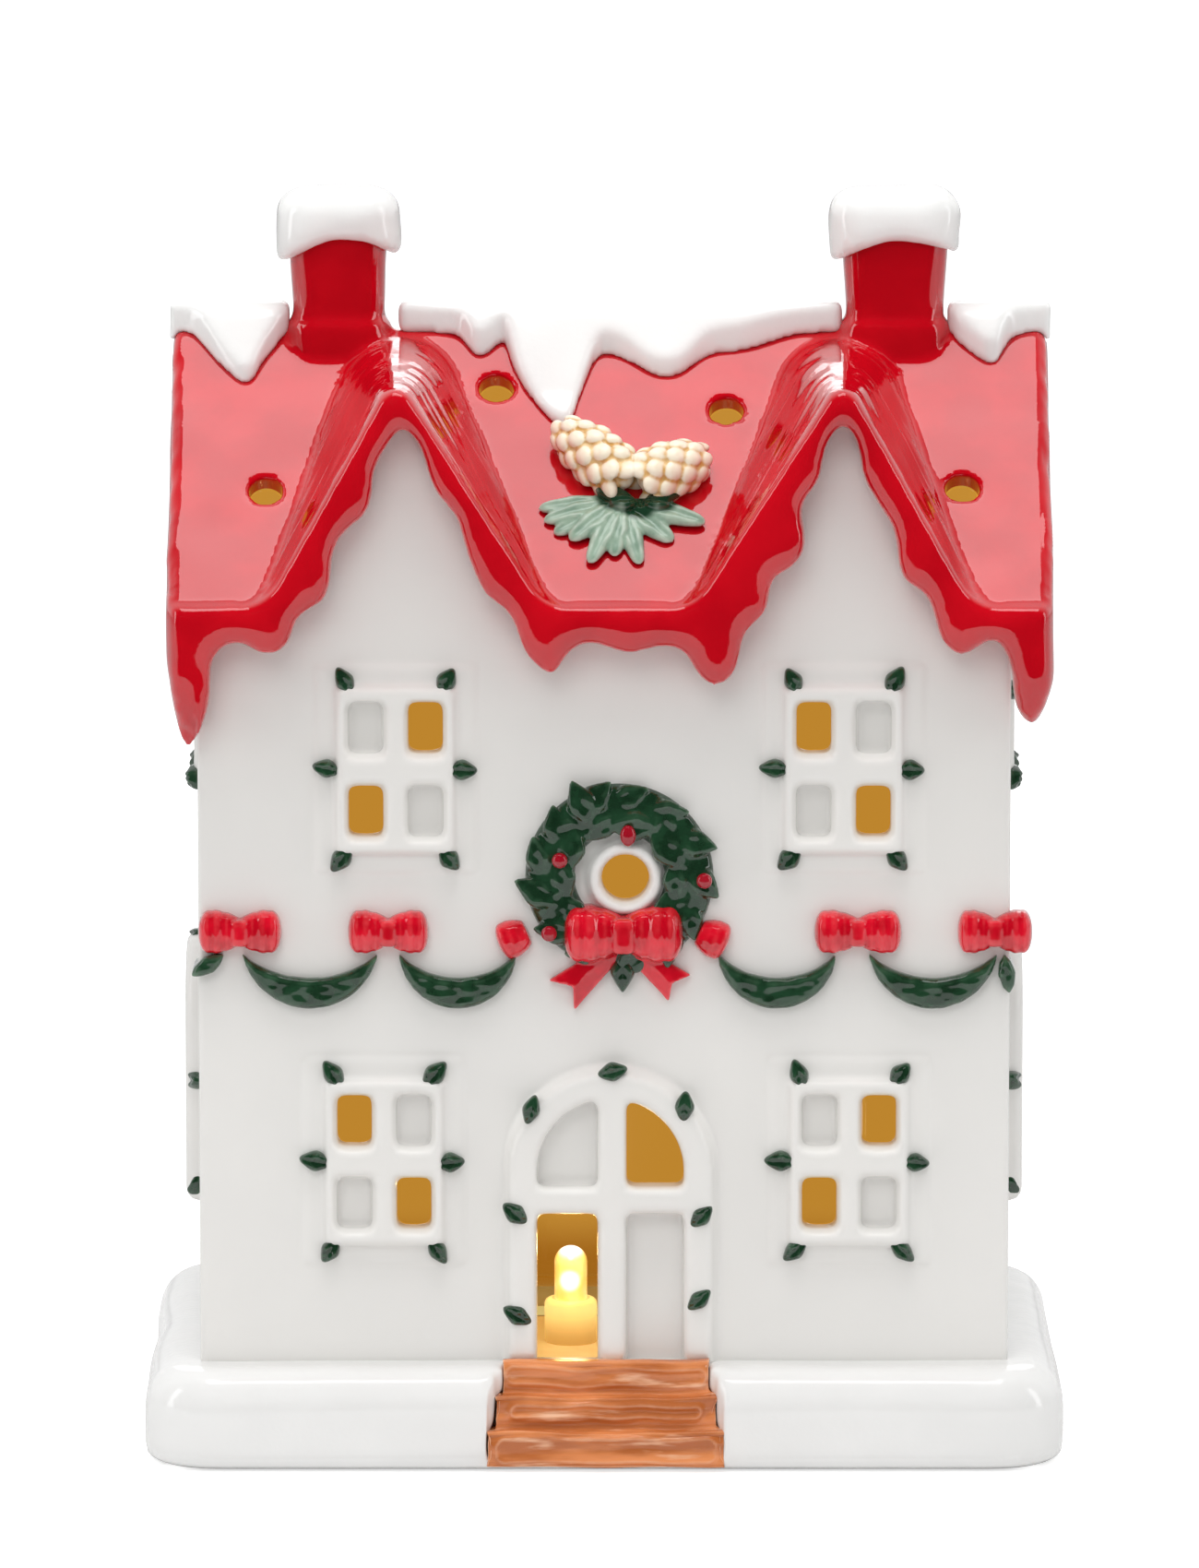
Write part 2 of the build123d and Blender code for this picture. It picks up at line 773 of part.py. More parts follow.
def wall_cuts():
    """Return every cut through the walls."""
    cuts = []
    for x, z, pierced in front_windows.values():
        cuts += window_cuts(on_wall("front", x, z), pierced)
    for x, z, pierced in back_windows:
        cuts += window_cuts(on_wall("back", x, z), pierced)
    for side in ("left", "right"):
        cuts += window_cuts(on_wall(side, 0, side_upper_window_z), falling)
        cuts += arch_cuts(on_wall(side, 0, side_arch_foot_z))
    cuts += door_cuts()
    bore = on_wall("front", round_window_x, round_window_z) * Pos(0, 0, -2 * cast_thickness)
    cuts.append(bore * extrude(Circle(round_window_bore / 2), 4 * cast_thickness))
    return cuts


def arch_face(width, height):
    """Return an arched opening standing on Y = 0, round at the top."""
    radius = width / 2
    straight = height - radius
    line = Polyline((-radius, straight), (-radius, 0), (radius, 0), (radius, straight))
    arc = ThreePointArc((radius, straight), (0, height), (-radius, straight))
    return make_face([line, arc])


def side_lights():
    """Return a side wall window's four lights as faces about its foot."""
    light = arch_face(side_arch_width - 2 * side_arch_frame, side_arch_height - 2 * side_arch_frame)
    bars = Rectangle(side_arch_mullion, 4 * side_arch_height)
    bars += Pos(0, side_arch_height / 2) * Rectangle(4 * side_arch_width, side_arch_mullion)
    return (Pos(0, side_arch_frame) * light - bars).faces()


def arch_cuts(frame):
    """Return the pierced and recessed lights of a side wall's arched window."""
    cuts = []
    for piece in side_lights():
        low = piece.center().Y < side_arch_height / 2
        pierced = (piece.center().X < 0) == low
        depth = 2 * cast_thickness if pierced else pane_recess
        cuts.append(frame * Pos(0, 0, -depth) * extrude(piece, depth + overrun))
    return cuts


def door_lights():
    """Return the door's four lights as faces about the door's foot."""
    light = arch_face(door_width - 2 * door_frame_width, door_height - door_frame_width)
    bars = Pos(door_mullion_x - door_x, 0) * Rectangle(door_mullion_width, 4 * door_height)
    bars += Pos(0, door_transom_z - base_height) * Rectangle(4 * door_width, door_transom_height)
    return (light - bars).faces()


def door_cuts():
    """Return the door's cuts: lower left and upper right pierced, the rest recessed."""
    frame = on_wall("front", door_x, base_height)
    cuts = []
    for piece in door_lights():
        low = piece.center().Y < door_transom_z - base_height
        pierced = (piece.center().X < 0) == low
        depth = 2 * cast_thickness if pierced else pane_recess
        cuts.append(frame * Pos(0, 0, -depth) * extrude(piece, depth + overrun))
    return cuts


# Window and door frames
def window_bars():
    """Return a window's raised bars, with a hole for each pane."""
    holes = []
    for column in (-1, 1):
        for row in (-1, 1):
            place = Pos(column * pane_pitch_x / 2, row * pane_pitch_z / 2)
            holes.append(place * Rectangle(pane_width, pane_height))
    bars = relief(Rectangle(bars_width, bars_height) - holes, bar_relief, bar_chamfer)
    backing = Rectangle(bars_width + 2 * plate_margin, bars_height + 2 * plate_margin) - holes
    return bars + extrude(backing, plate_relief)


def pierced_relief(face, lights, thickness, edge):
    """Return a raised frame, chamfered round its outside and pierced by its lights."""
    body = relief(face, thickness, edge)
    for light in lights:
        body -= extrude(light, thickness)
    return body


def side_arch():
    """Return the raised frame of a side wall's arched window."""
    face = arch_face(side_arch_width, side_arch_height)
    return pierced_relief(face, side_lights(), side_arch_relief, side_arch_chamfer)


def door_frame_body():
    """Return the door's arched frame with its mullion and transom, lying on Z = 0."""
    face = arch_face(door_width, door_height)
    return pierced_relief(face, door_lights(), door_relief, door_chamfer)


def build_round_window():
    """Return the dished ring round the small window inside the wreath."""
    ring = Circle(round_window_dish / 2) - Circle(round_window_bore / 2)
    return on_wall("front", round_window_x, round_window_z) * relief(ring, round_window_relief, bar_chamfer)


# Holly
def leaf_body(length, width, thickness):
    """Return a holly leaf lying on Z = 0, pointing along Y."""
    face = polygon([(across * width, along * length) for across, along in leaf_outline_shares])
    return relief(face, thickness, leaf_chamfer)


def frame_leaves(frame, carrier, shares, half_width, height, relief_height):
    """Return the leaves round one frame, cut to sit on it and on the wall."""
    leaves = []
    for across, up, turn in shares:
        place = Pos(across * half_width, up * height, 0) * Rot(0, 0, turn)
        leaf = leaf_body(leaf_length, leaf_width, relief_height + leaf_lift)
        leaves.append(frame * (place * leaf - carrier))
    return leaves


def window_leaves(frame):
    """Return the six leaves round a window with four panes."""
    return frame_leaves(frame, window_bars(), window_leaf_shares, bars_width / 2, bars_height / 2, bar_relief)


def build_front_window_leaves():
    """Return the leaves round the front's four windows."""
    leaves = []
    for x, z, _ in front_windows.values():
        leaves += window_leaves(on_wall("front", x, z))
    return leaves


def build_back_window_leaves():
    """Return the leaves round the back's four windows."""
    leaves = []
    for x, z, _ in back_windows:
        leaves += window_leaves(on_wall("back", x, z))
    return leaves


def build_side_window_leaves():
    """Return the leaves round the windows on the left and right walls."""
    leaves = []
    for side in ("left", "right"):
        leaves += window_leaves(on_wall(side, 0, side_upper_window_z))
        frame = on_wall(side, 0, side_arch_foot_z)
        leaves += frame_leaves(
            frame, side_arch(), side_leaf_shares, side_arch_width / 2, side_arch_height, side_arch_relief
        )
    return leaves


def build_door_leaves():
    """Return the leaves round the door."""
    frame = on_wall("front", door_x, base_height)
    carrier = door_frame_body()
    return frame_leaves(frame, carrier, arch_leaf_shares, door_width / 2, door_height, door_relief)


def wreath_body():
    """Return the wreath, lying on Z = 0: a ring with leaves leaning out and in."""
    half = wreath_ring_width / 2
    ring = Circle(wreath_ring_radius + half) - Circle(wreath_ring_radius - half)
    body = extrude(ring, wreath_ring_thickness)
    step = 360 / wreath_leaf_count
    leaf = leaf_body(wreath_leaf_length, wreath_leaf_width, wreath_leaf_thickness)
    for index in range(wreath_leaf_count):
        lean = wreath_leaf_lean if index % 2 else -wreath_leaf_lean / 3
        place = Rot(0, 0, index * step) * Pos(wreath_ring_radius, 0, 0) * Rot(0, 0, lean)
        body += place * leaf
    return body


def build_berries(wreath):
    """Return the wreath's berries, each seated on the leaves."""
    berries = []
    frame = on_wall("front", wreath_x, wreath_z)
    for angle, out in berry_place_shares:
        place = Rot(0, 0, angle) * Pos(out * wreath_ring_radius, 0, wreath_leaf_thickness)
        berries.append(frame * (place * Sphere(wreath_berry_diameter / 2) - wreath))
    return berries


# Bows and swags
def bow_body(width, height, thickness, loops=(-1, 1)):
    """Return a tied bow lying on Z = 0, with its knot in the middle."""
    half = width / 2
    body = relief(RectangleRounded(height / 2, height * knot_share, height / 6), thickness, bow_chamfer)
    for side in loops:
        face = polygon([(side * out * half, up * height) for out, up in loop_outline_shares])
        body += relief(face, thickness * loop_lift_share, bow_chamfer)
    return body


def tail_body(length, width, thickness):
    """Return a ribbon's notched tail, hanging from the origin along Y."""
    face = polygon([(across * width, along * length) for across, along in tail_outline_shares])
    return relief(face, thickness, bow_chamfer)


def build_wreath_bow(wreath):
    """Return the wreath's large bow with its two tails."""
    thickness = wreath_leaf_thickness + wreath_bow_lift
    body = bow_body(wreath_bow_width, wreath_bow_height, thickness)
    for turn in wreath_tail_turns:
        tail = tail_body(wreath_tail_length, wreath_tail_width, thickness - wreath_bow_lift / 2)
        body += Rot(0, 0, turn) * tail
    lower = Pos(wreath_x - wreath_bow_x, wreath_z - wreath_bow_z, 0) * wreath
    return on_wall("front", wreath_bow_x, wreath_bow_z) * (body - lower) - build_round_window()


def build_drop_leaf(wreath, bow):
    """Return the single leaf that hangs under the wreath's bow."""
    place = on_wall("front", wreath_bow_x, wreath_bow_z - wreath_bow_height)
    leaf = leaf_body(wreath_drop_length, leaf_width, wreath_leaf_thickness)
    return place * leaf - wreath - bow


def wrap_round_corner(body):
    """Return an ornament that starts behind the wall's face, without the wall's part."""
    solid_wall = block((-wall_half, wall_half), (wall_front, -wall_front), (0, ridge_height))
    return body - solid_wall


def build_bows(wreath, wreath_bow):
    """Return the garland's bows, those at the corners wrapping round the wall."""
    bows = []
    inner = on_wall("front", wreath_x, wreath_z) * wreath
    for across, size in bow_place_shares:
        frame = on_wall("front", across * wall_half, bow_z)
        if size < half_bow_share:
            side = 1 if across < 0 else -1
            knot_end = bow_body(2 * bow_width * size, bow_height, bow_thickness, loops=(-side,))
            bow = frame * knot_end - inner - wreath_bow
        else:
            whole = bow_body(bow_width * size, bow_height, bow_thickness + bow_wrap)
            bow = wrap_round_corner(frame * Pos(0, 0, -bow_wrap) * whole)
        bows.append(bow)
    return bows


def build_tails(bows):
    """Return the two short garland ends that hang at the corners."""
    tails = []
    for across, turn in tail_place_shares:
        frame = on_wall("front", across * wall_half, bow_z - bow_height / 2)
        leaf = Pos(0, 0, -bow_wrap) * leaf_body(tail_length, tail_width, swag_thickness + bow_wrap)
        piece = frame * Rot(0, 0, turn) * Pos(0, tail_length / 2, 0) * leaf
        piece = wrap_round_corner(piece)
        for bow in bows:
            piece -= bow
        tails.append(piece)
    return tails


def swag_body(left, low, right):
    """Return one hanging swag, thick in the middle and pointed at both ends."""
    top = swag_top_z - swag_low_z
    lower = ThreePointArc((left, top), (low, 0), (right, top))
    upper = ThreePointArc((right, top), (low, swag_width), (left, top))
    return relief(make_face([lower, upper]), swag_thickness, swag_chamfer)


def build_swags(bows, wreath):
    """Return the garland's four swags, cut clear of the bows over their ends."""
    swags = []
    for shares in swag_place_shares:
        swag = on_wall("front", 0, swag_low_z) * swag_body(*[share * wall_half for share in shares])
        for other in bows + [wreath]:
            swag -= other
        swags.append(swag)
    return swags


# Ridge snow and chimneys
def snow_plan(shares):
    """Return a snow patch's outline from above, dripping down both slopes."""
    front = [
        (roof_shift + across * roof_half, -out * roof_half_depth) for across, out in shares
    ]
    back = [(x, -y * snow_back_share) for x, y in reversed(front)]
    return make_face([
        Spline(*front), Line(front[-1], back[0]), Spline(*back), Line(back[-1], front[0]),
    ])


def snow_profile():
    """Return the snow's outline in Y and Z, thin on the slopes and heaped on the ridge."""
    rise = (ridge_height - eave_height) / roof_half_depth
    top_z = ridge_height + snow_lift / math.cos(math.radians(roof_slope))
    knee_z = top_z - rise * snow_crown_reach
    edge_z = top_z - rise * roof_half_depth
    face = polygon([
        (-roof_half_depth, edge_z), (-snow_crown_reach, knee_z), (0, ridge_height + snow_crown),
        (snow_crown_reach, knee_z), (roof_half_depth, edge_z),
    ])
    return fillet(face.vertices().sort_by(Axis.Y)[-1], snow_ridge_round)


def build_ridge_snow(outside):
    """Return the snow on the ridge in three patches, broken by the chimneys."""
    cover = side_prism(snow_profile(), roof_shift - roof_half, roof_shift + roof_half)
    patches = []
    for shares in (snow_left_shares, snow_middle_shares, snow_right_shares):
        column = Pos(0, 0, eave_height) * extrude(snow_plan(shares), ridge_height)
        patch = (cover & column) - outside
        for x, width in chimney_places():
            patch -= chimney_prism(x, width, chimney_foot_flare)
        patches.append(patch)
    return patches


def chimney_places():
    """Return each chimney's place along the ridge and its width."""
    return ((chimney_left_x, chimney_left_width), (chimney_right_x, chimney_right_width))


def chimney_prism(x, width, gap=0.0):
    """Return a chimney's upright prism, down into the roof."""
    face = RectangleRounded(width + 2 * gap, chimney_depth + 2 * gap, chimney_corner_round + gap)
    foot = ridge_height - chimney_root
    return Pos(x, 0, foot) * extrude(face, chimney_height - foot)


def build_chimney(outside, x, width):
    """Return a chimney with the glaze collar round its foot."""
    foot = chimney_prism(x, width, chimney_foot_flare)
    foot &= block(
        (-roof_length, roof_length), (-roof_half_depth, roof_half_depth),
        (0, ridge_height + chimney_foot_rise),
    )
    foot = chamfer(foot.faces().sort_by(Axis.Z)[-1].edges(), chimney_foot_rise)
    return chimney_prism(x, width) + foot - outside


def build_cap(x, width):
    """Return the pillow of snow on a chimney, hanging lower at its corners."""
    cap_width = width + 2 * cap_overhang
    depth = chimney_depth + 2 * cap_overhang
    face = RectangleRounded(cap_width, depth, chimney_corner_round + cap_overhang / 2)
    body = Pos(x, 0, cap_height - cap_hang) * extrude(face, cap_hang)
    body = fillet(body.faces().sort_by(Axis.Z)[-1].edges(), cap_round)
    half = cap_width / 2
    radius = (half ** 2 + cap_arch ** 2) / (2 * cap_arch)
    arch = Pos(x, 0, cap_height - cap_hang + cap_arch - radius) * Rot(90, 0, 0) * Cylinder(radius, 2 * depth)
    return body - arch - chimney_prism(x, width)


# Pine cones and fir sprig
def cone_body(length):
    """Return a pine cone along Y, in rings of flat scales turned by half a scale."""
    body = None
    step = len(cone_profile_shares) - 1
    for index in range(step):
        start, radius = cone_profile_shares[index]
        end, tip = cone_profile_shares[index + 1]
        turn = Rot(0, 0, 180 / cone_sides * (index % 2))
        low = Plane.XZ.offset(-start * length) * (turn * RegularPolygon(radius * cone_radius, cone_sides))
        tip_radius = tip * cone_radius * scale_tip_share
        high = Plane.XZ.offset(-end * length) * (turn * RegularPolygon(tip_radius, cone_sides))
        ring = loft([low, high], ruled=True)
        body = ring if body is None else body + ring
    return body


def build_cone(outside, side):
    """Return a pine cone lying on the front slope."""
    length = cone_left_length if side < 0 else cone_right_length
    turn = cone_left_turn if side < 0 else cone_right_turn
    along = (cone_base_y + roof_half_depth) / math.cos(math.radians(roof_slope))
    place = Pos(cone_base_x + side * cone_spread, along, cone_radius / 2) * Rot(0, 0, turn)
    return front_slope.location * place * cone_body(length) - outside


def build_sprig(cones):
    """Return the fir sprig, its needle bunches fanned out under the cones."""
    along = (sprig_y + roof_half_depth) / math.cos(math.radians(roof_slope))
    body = None
    for turn, share in sprig_leaf_shares:
        leaf = leaf_body(sprig_leaf_length * share, sprig_leaf_width, sprig_thickness)
        piece = Rot(0, 0, turn) * Pos(0, sprig_leaf_length * share / 2, 0) * leaf
        body = piece if body is None else body + piece
    body = front_slope.location * Pos(sprig_x, along, 0) * body
    for cone in cones:
        body -= cone
    return body


# Light unit
def disc(diameter, low_z, high_z):
    """Return an upright cylinder on the light unit's axis."""
    return Pos(light_x, light_y, low_z) * extrude(Circle(diameter / 2), high_z - low_z)


def plate(x_offset, y_offset, face, low_z, high_z):
    """Return a face extruded upwards, placed from the light unit's axis."""
    return Pos(light_x + x_offset, light_y + y_offset, low_z) * extrude(face, high_z - low_z)


def build_housing():
    """Return the light unit's cup, with posts that hold the board."""
    body = disc(housing_diameter, flange_top_z, housing_top_z)
    ceiling = housing_top_z - housing_thickness
    body -= disc(housing_diameter - 2 * housing_thickness, 0, ceiling)
    for index in range(3):
        angle = math.radians(90 + index * 120)
        x, y = post_circle_radius * math.cos(angle), post_circle_radius * math.sin(angle)
        body += plate(x, y, Circle(post_diameter / 2), board_top_z, ceiling)
    return body - disc(lead_bore_diameter, 0, housing_top_z + overrun)


def door_outline(gap):
    """Return the battery door's outline: a disc with an ear for its screw."""
    ear_length = door_ear_reach + gap
    ear = Pos(0, ear_length / 2) * Rectangle(door_ear_width + 2 * gap, ear_length)
    return Circle(door_plate_diameter / 2 + gap) + ear


def tongue_window(gap):
    """Return the outline of the door's tongue, or with a gap of its window."""
    length = tongue_reach + gap
    middle = hinge_y - light_y - length / 2
    return Pos(0, middle) * Rectangle(tongue_width + 2 * gap, length)


def build_flange():
    """Return the light unit's base plate, with the battery opening and switch slot."""
    body = disc(flange_diameter, flange_foot_z, flange_top_z)
    body -= plate(0, 0, door_outline(fit_gap), 0, door_plate_top_z)
    body -= plate(0, 0, tongue_window(fit_gap), hinge_z, base_height)
    body -= plate(0, tongue_reach + fit_gap, tongue_window(fit_gap), 0, base_height)
    body -= disc(cell_diameter + 2 * cell_opening_gap, 0, base_height)
    slot_width = knob_size + 2 * slot_gap
    body -= plate(switch_reach, 0, Rectangle(slot_width, switch_travel + slot_width), 0, base_height)
    return body - plate(0, screw_reach, Circle(screw_diameter / 2 + screw_play), 0, base_height)


def build_seal():
    """Return the soft ring that grips the socket in the base."""
    body = disc(seal_outer_diameter, seat_depth, seat_depth + seal_height)
    return body - disc(housing_diameter + 2 * close_gap, 0, base_height)


def build_collar():
    """Return the lamp's warm collar, with a round shoulder."""
    body = disc(collar_diameter, housing_top_z, collar_top_z)
    body = fillet(body.faces().sort_by(Axis.Z)[-1].edges(), collar_round)
    body -= disc(lamp_rim_diameter, lamp_foot_z, lamp_top_z)
    return body - disc(lead_bore_diameter, 0, lamp_top_z)


def build_lamp():
    """Return the lamp's domed lens with its rim."""
    dome_z = lamp_top_z - lamp_diameter / 2
    rim = disc(lamp_rim_diameter, lamp_foot_z, collar_top_z)
    dome = Pos(light_x, light_y, dome_z) * Sphere(lamp_diameter / 2)
    return rim + disc(lamp_diameter, lamp_foot_z, dome_z) + dome


def build_leads():
    """Return the lamp's two wire legs, down to the board."""
    leg = Rectangle(lead_width, lead_width)
    return [plate(side * lead_pitch / 2, 0, leg, board_top_z, lamp_foot_z) for side in (-1, 1)]


def build_board():
    """Return the round circuit board."""
    return disc(board_diameter, board_foot_z, board_top_z)


def build_chip():
    """Return the small driver chip on top of the board."""
    face = Rectangle(chip_length, chip_width)
    return plate(collar_diameter, 0, face, board_top_z, board_top_z + chip_height)


def build_cell():
    """Return the coin cell, whose lower face is narrower than its can."""
    can = disc(cell_diameter, cell_foot_z + cell_rim, cell_top_z)
    return can + disc(cell_diameter - 2 * cell_step, cell_foot_z, cell_foot_z + cell_rim)


def build_contact():
    """Return the bent strip between the board and the cell's upper face."""
    low, high = contact_thickness, contact_height - contact_thickness
    bend = contact_height / 4
    face = polygon([
        (contact_length, contact_height), (contact_length, high), (bend, high), (-3 * bend, 0),
        (-8 * bend, 0), (-8 * bend, low), (-4 * bend, low), (0, contact_height),
    ])
    strip = front_prism(face, -contact_width / 2, contact_width / 2)
    return Pos(light_x, light_y, cell_top_z) * strip


def build_clip():
    """Return the upright clip that touches the cell's side."""
    reach = cell_diameter / 2 + clip_gap + contact_thickness / 2
    face = Rectangle(contact_thickness, clip_width)
    return plate(-reach, 0, face, cell_foot_z + cell_rim, board_foot_z)


def build_switch():
    """Return the slide switch's case, under the board."""
    return plate(switch_reach, 0, Rectangle(switch_width, switch_length), cell_foot_z, board_foot_z)


def build_knob():
    """Return the switch's knob at the near end of its slot."""
    face = Rectangle(knob_size, knob_size)
    return plate(switch_reach, -switch_travel / 2, face, flange_foot_z, cell_foot_z - close_gap)


def build_battery_door():
    """Return the battery door: its tongue, pad, coin slot and screw hole."""
    flat = Pos(0, hinge_y - light_y + tongue_relief - door_plate_diameter)
    outline = door_outline(0) - flat * Rectangle(2 * door_plate_diameter, 2 * door_plate_diameter)
    body = plate(0, 0, outline, flange_foot_z, door_plate_top_z)
    tongue = Pos(0, tongue_relief / 2) * tongue_window(0)
    tongue += Pos(0, tongue_relief) * tongue_window(0)
    tongue += tongue_window(0)
    body += plate(0, 0, tongue, hinge_z + close_gap, hinge_z + close_gap + tongue_thickness)
    body += disc(door_pad_diameter, door_plate_top_z, cell_foot_z - close_gap)
    body -= plate(0, 0, Rectangle(coin_slot_length, coin_slot_width), 0, flange_foot_z + coin_slot_depth)
    head = Circle(screw_head_diameter / 2 + close_gap)
    body -= plate(0, screw_reach, head, 0, flange_foot_z + screw_head_height)
    return body - plate(0, screw_reach, Circle(screw_diameter / 2 + close_gap), 0, base_height)


def build_screw():
    """Return the small screw that keeps the battery door shut."""
    head = Circle(screw_head_diameter / 2)
    head = plate(0, screw_reach, head, flange_foot_z, flange_foot_z + screw_head_height)
    shank = plate(0, screw_reach, Circle(screw_diameter / 2), flange_foot_z, door_plate_top_z + screw_tip)
    slot = Rectangle(screw_head_diameter * 2, screw_slot_width)
    return head + shank - plate(0, screw_reach, slot, 0, flange_foot_z + screw_slot_depth)


def group(pieces):
    """Return like pieces as one node of separate solids."""
    solids = [solid for piece in pieces for solid in piece.solids()]
    return Compound(children=solids)


def house_parts():
    """Return the cast shell and its ornaments by name."""
    outside = roof_outside()
    under = under_roof()
    parts = {
        "snow_base": build_base(),
        "house_walls": build_walls(under),
        "roof_shell": build_roof(outside, under),
        "door_steps": build_steps(),
        "ridge_snow": group(build_ridge_snow(outside)),
    }
    for name, (x, width) in zip(("left", "right"), chimney_places()):
        parts[f"chimney_{name}"] = build_chimney(outside, x, width)
        parts[f"chimney_snow_{name}"] = build_cap(x, width)
    for name, (x, z, _) in front_windows.items():
        parts[name] = on_wall("front", x, z) * window_bars()
    parts["windows_back"] = group([on_wall("back", x, z) * window_bars() for x, z, _ in back_windows])
    sides = ("left", "right")
    parts["windows_side_upper"] = group([on_wall(s, 0, side_upper_window_z) * window_bars() for s in sides])
    parts["windows_side_lower"] = group([on_wall(s, 0, side_arch_foot_z) * side_arch() for s in sides])
    parts["door_frame"] = on_wall("front", door_x, base_height) * door_frame_body()
    parts["round_window"] = build_round_window()
    parts["window_leaves_front"] = group(build_front_window_leaves())
    parts["window_leaves_back"] = group(build_back_window_leaves())
    parts["window_leaves_side"] = group(build_side_window_leaves())
    parts["door_leaves"] = group(build_door_leaves())
    cones = [build_cone(outside, -1), build_cone(outside, 1)]
    cones[1] -= cones[0]
    parts["pinecone_left"], parts["pinecone_right"] = cones
    parts["fir_sprig"] = build_sprig(cones)
    return parts


def garland_parts():
    """Return the wreath and the garland by name."""
    flat_wreath = wreath_body()
    wreath = on_wall("front", wreath_x, wreath_z) * flat_wreath
    bow = build_wreath_bow(flat_wreath)
    bows = build_bows(wreath, bow)
    return {
        "wreath": wreath,
        "wreath_berries": group(build_berries(flat_wreath)),
        "wreath_bow": bow,
        "wreath_drop_leaf": build_drop_leaf(wreath, bow),
        "garland_bows": group(bows),
        "garland_swags": group(build_swags(bows, wreath)),
        "garland_tails": group(build_tails(bows)),
    }


def light_parts():
    """Return the light unit's pieces by name."""
    return {
        "light_housing": build_housing(),
        "light_base_plate": build_flange(),
        "seal_ring": build_seal(),
        "lamp_collar": build_collar(),
        "lamp_lens": build_lamp(),
        "lamp_leads": group(build_leads()),
        "circuit_board": build_board(),
        "driver_chip": build_chip(),
        "coin_cell": build_cell(),
        "cell_contact": build_contact(),
        "cell_clip": build_clip(),
        "switch_case": build_switch(),
        "switch_knob": build_knob(),
        "battery_door": build_battery_door(),
        "battery_door_screw": build_screw(),
    }


def main():
    """Write every part as one STEP file."""
    os.makedirs("parts", exist_ok=True)
    for name, part in {**house_parts(), **garland_parts(), **light_parts()}.items():
        export_step(part, f"parts/{name}.step")


main()
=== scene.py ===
"""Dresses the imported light-up christmas house: glazes, ornaments, lamp light and camera."""

from __future__ import annotations

import logging
import math
import random
from contextlib import contextmanager
from dataclasses import dataclass
from enum import Enum
from typing import Callable, Iterator, Mapping, Sequence

import bpy
import numpy as np
from mathutils import Matrix, Vector, noise
from mathutils.kdtree import KDTree

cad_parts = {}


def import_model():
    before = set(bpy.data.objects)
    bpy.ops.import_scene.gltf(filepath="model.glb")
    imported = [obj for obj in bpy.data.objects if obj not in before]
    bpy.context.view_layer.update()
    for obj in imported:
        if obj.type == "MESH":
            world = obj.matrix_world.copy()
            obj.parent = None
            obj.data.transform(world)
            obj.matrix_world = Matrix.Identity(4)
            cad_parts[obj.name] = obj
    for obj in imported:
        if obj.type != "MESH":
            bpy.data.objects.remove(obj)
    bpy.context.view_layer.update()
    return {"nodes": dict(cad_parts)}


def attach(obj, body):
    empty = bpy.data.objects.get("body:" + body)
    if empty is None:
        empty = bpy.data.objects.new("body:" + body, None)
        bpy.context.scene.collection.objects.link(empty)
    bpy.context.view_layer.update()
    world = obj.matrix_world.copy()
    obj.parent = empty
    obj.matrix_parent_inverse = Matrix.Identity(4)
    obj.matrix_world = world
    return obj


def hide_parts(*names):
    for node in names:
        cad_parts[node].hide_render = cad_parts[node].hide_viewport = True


LOG = logging.getLogger("christmas_house")
MM = 0.001
HOUSE = "house"
WALL_FRONT = 35.0 * MM
CHIMNEYS = (-40.5 * MM, 44.3 * MM)
GOLDEN_TURN = 137.5
Place = tuple[float, float, float]
Colour = Place
Skin = tuple[float, int, int]
Piece = bpy.types.Object
Material = bpy.types.Material
Socket = bpy.types.NodeSocket
Sockets = Mapping[str, Socket]
Value = Socket | tuple | float
Inputs = Mapping[str | int, Value]
Move = Callable[[Vector, Vector], Vector]
Test = Callable[[Vector, Vector], bool]


class Slot(str, Enum):
    """The names of the material slots."""

    SNOW = "snow_glaze"
    WALL = "wall_glaze"
    RED = "red_glaze"
    GREEN = "green_glaze"
    SAGE = "sage_glaze"
    CONE = "cone_glaze"
    BERRY = "berry_glaze"
    RIBBON = "ribbon_glaze"
    STEP = "step_glaze"


class Effect(Enum):
    """Shared shader groups that more than one finish uses."""

    CLOUD = "kiln_cloud"
    RIPPLE = "glaze_ripple"
    STREAK = "brush_streak"
    LAMPLIT = "lamplit_inside"
    CREST = "glaze_break_and_highlight"


def turned(degrees: float, axis: str) -> Matrix:
    """Return a turn about an axis."""
    return Matrix.Rotation(math.radians(degrees), 4, axis)


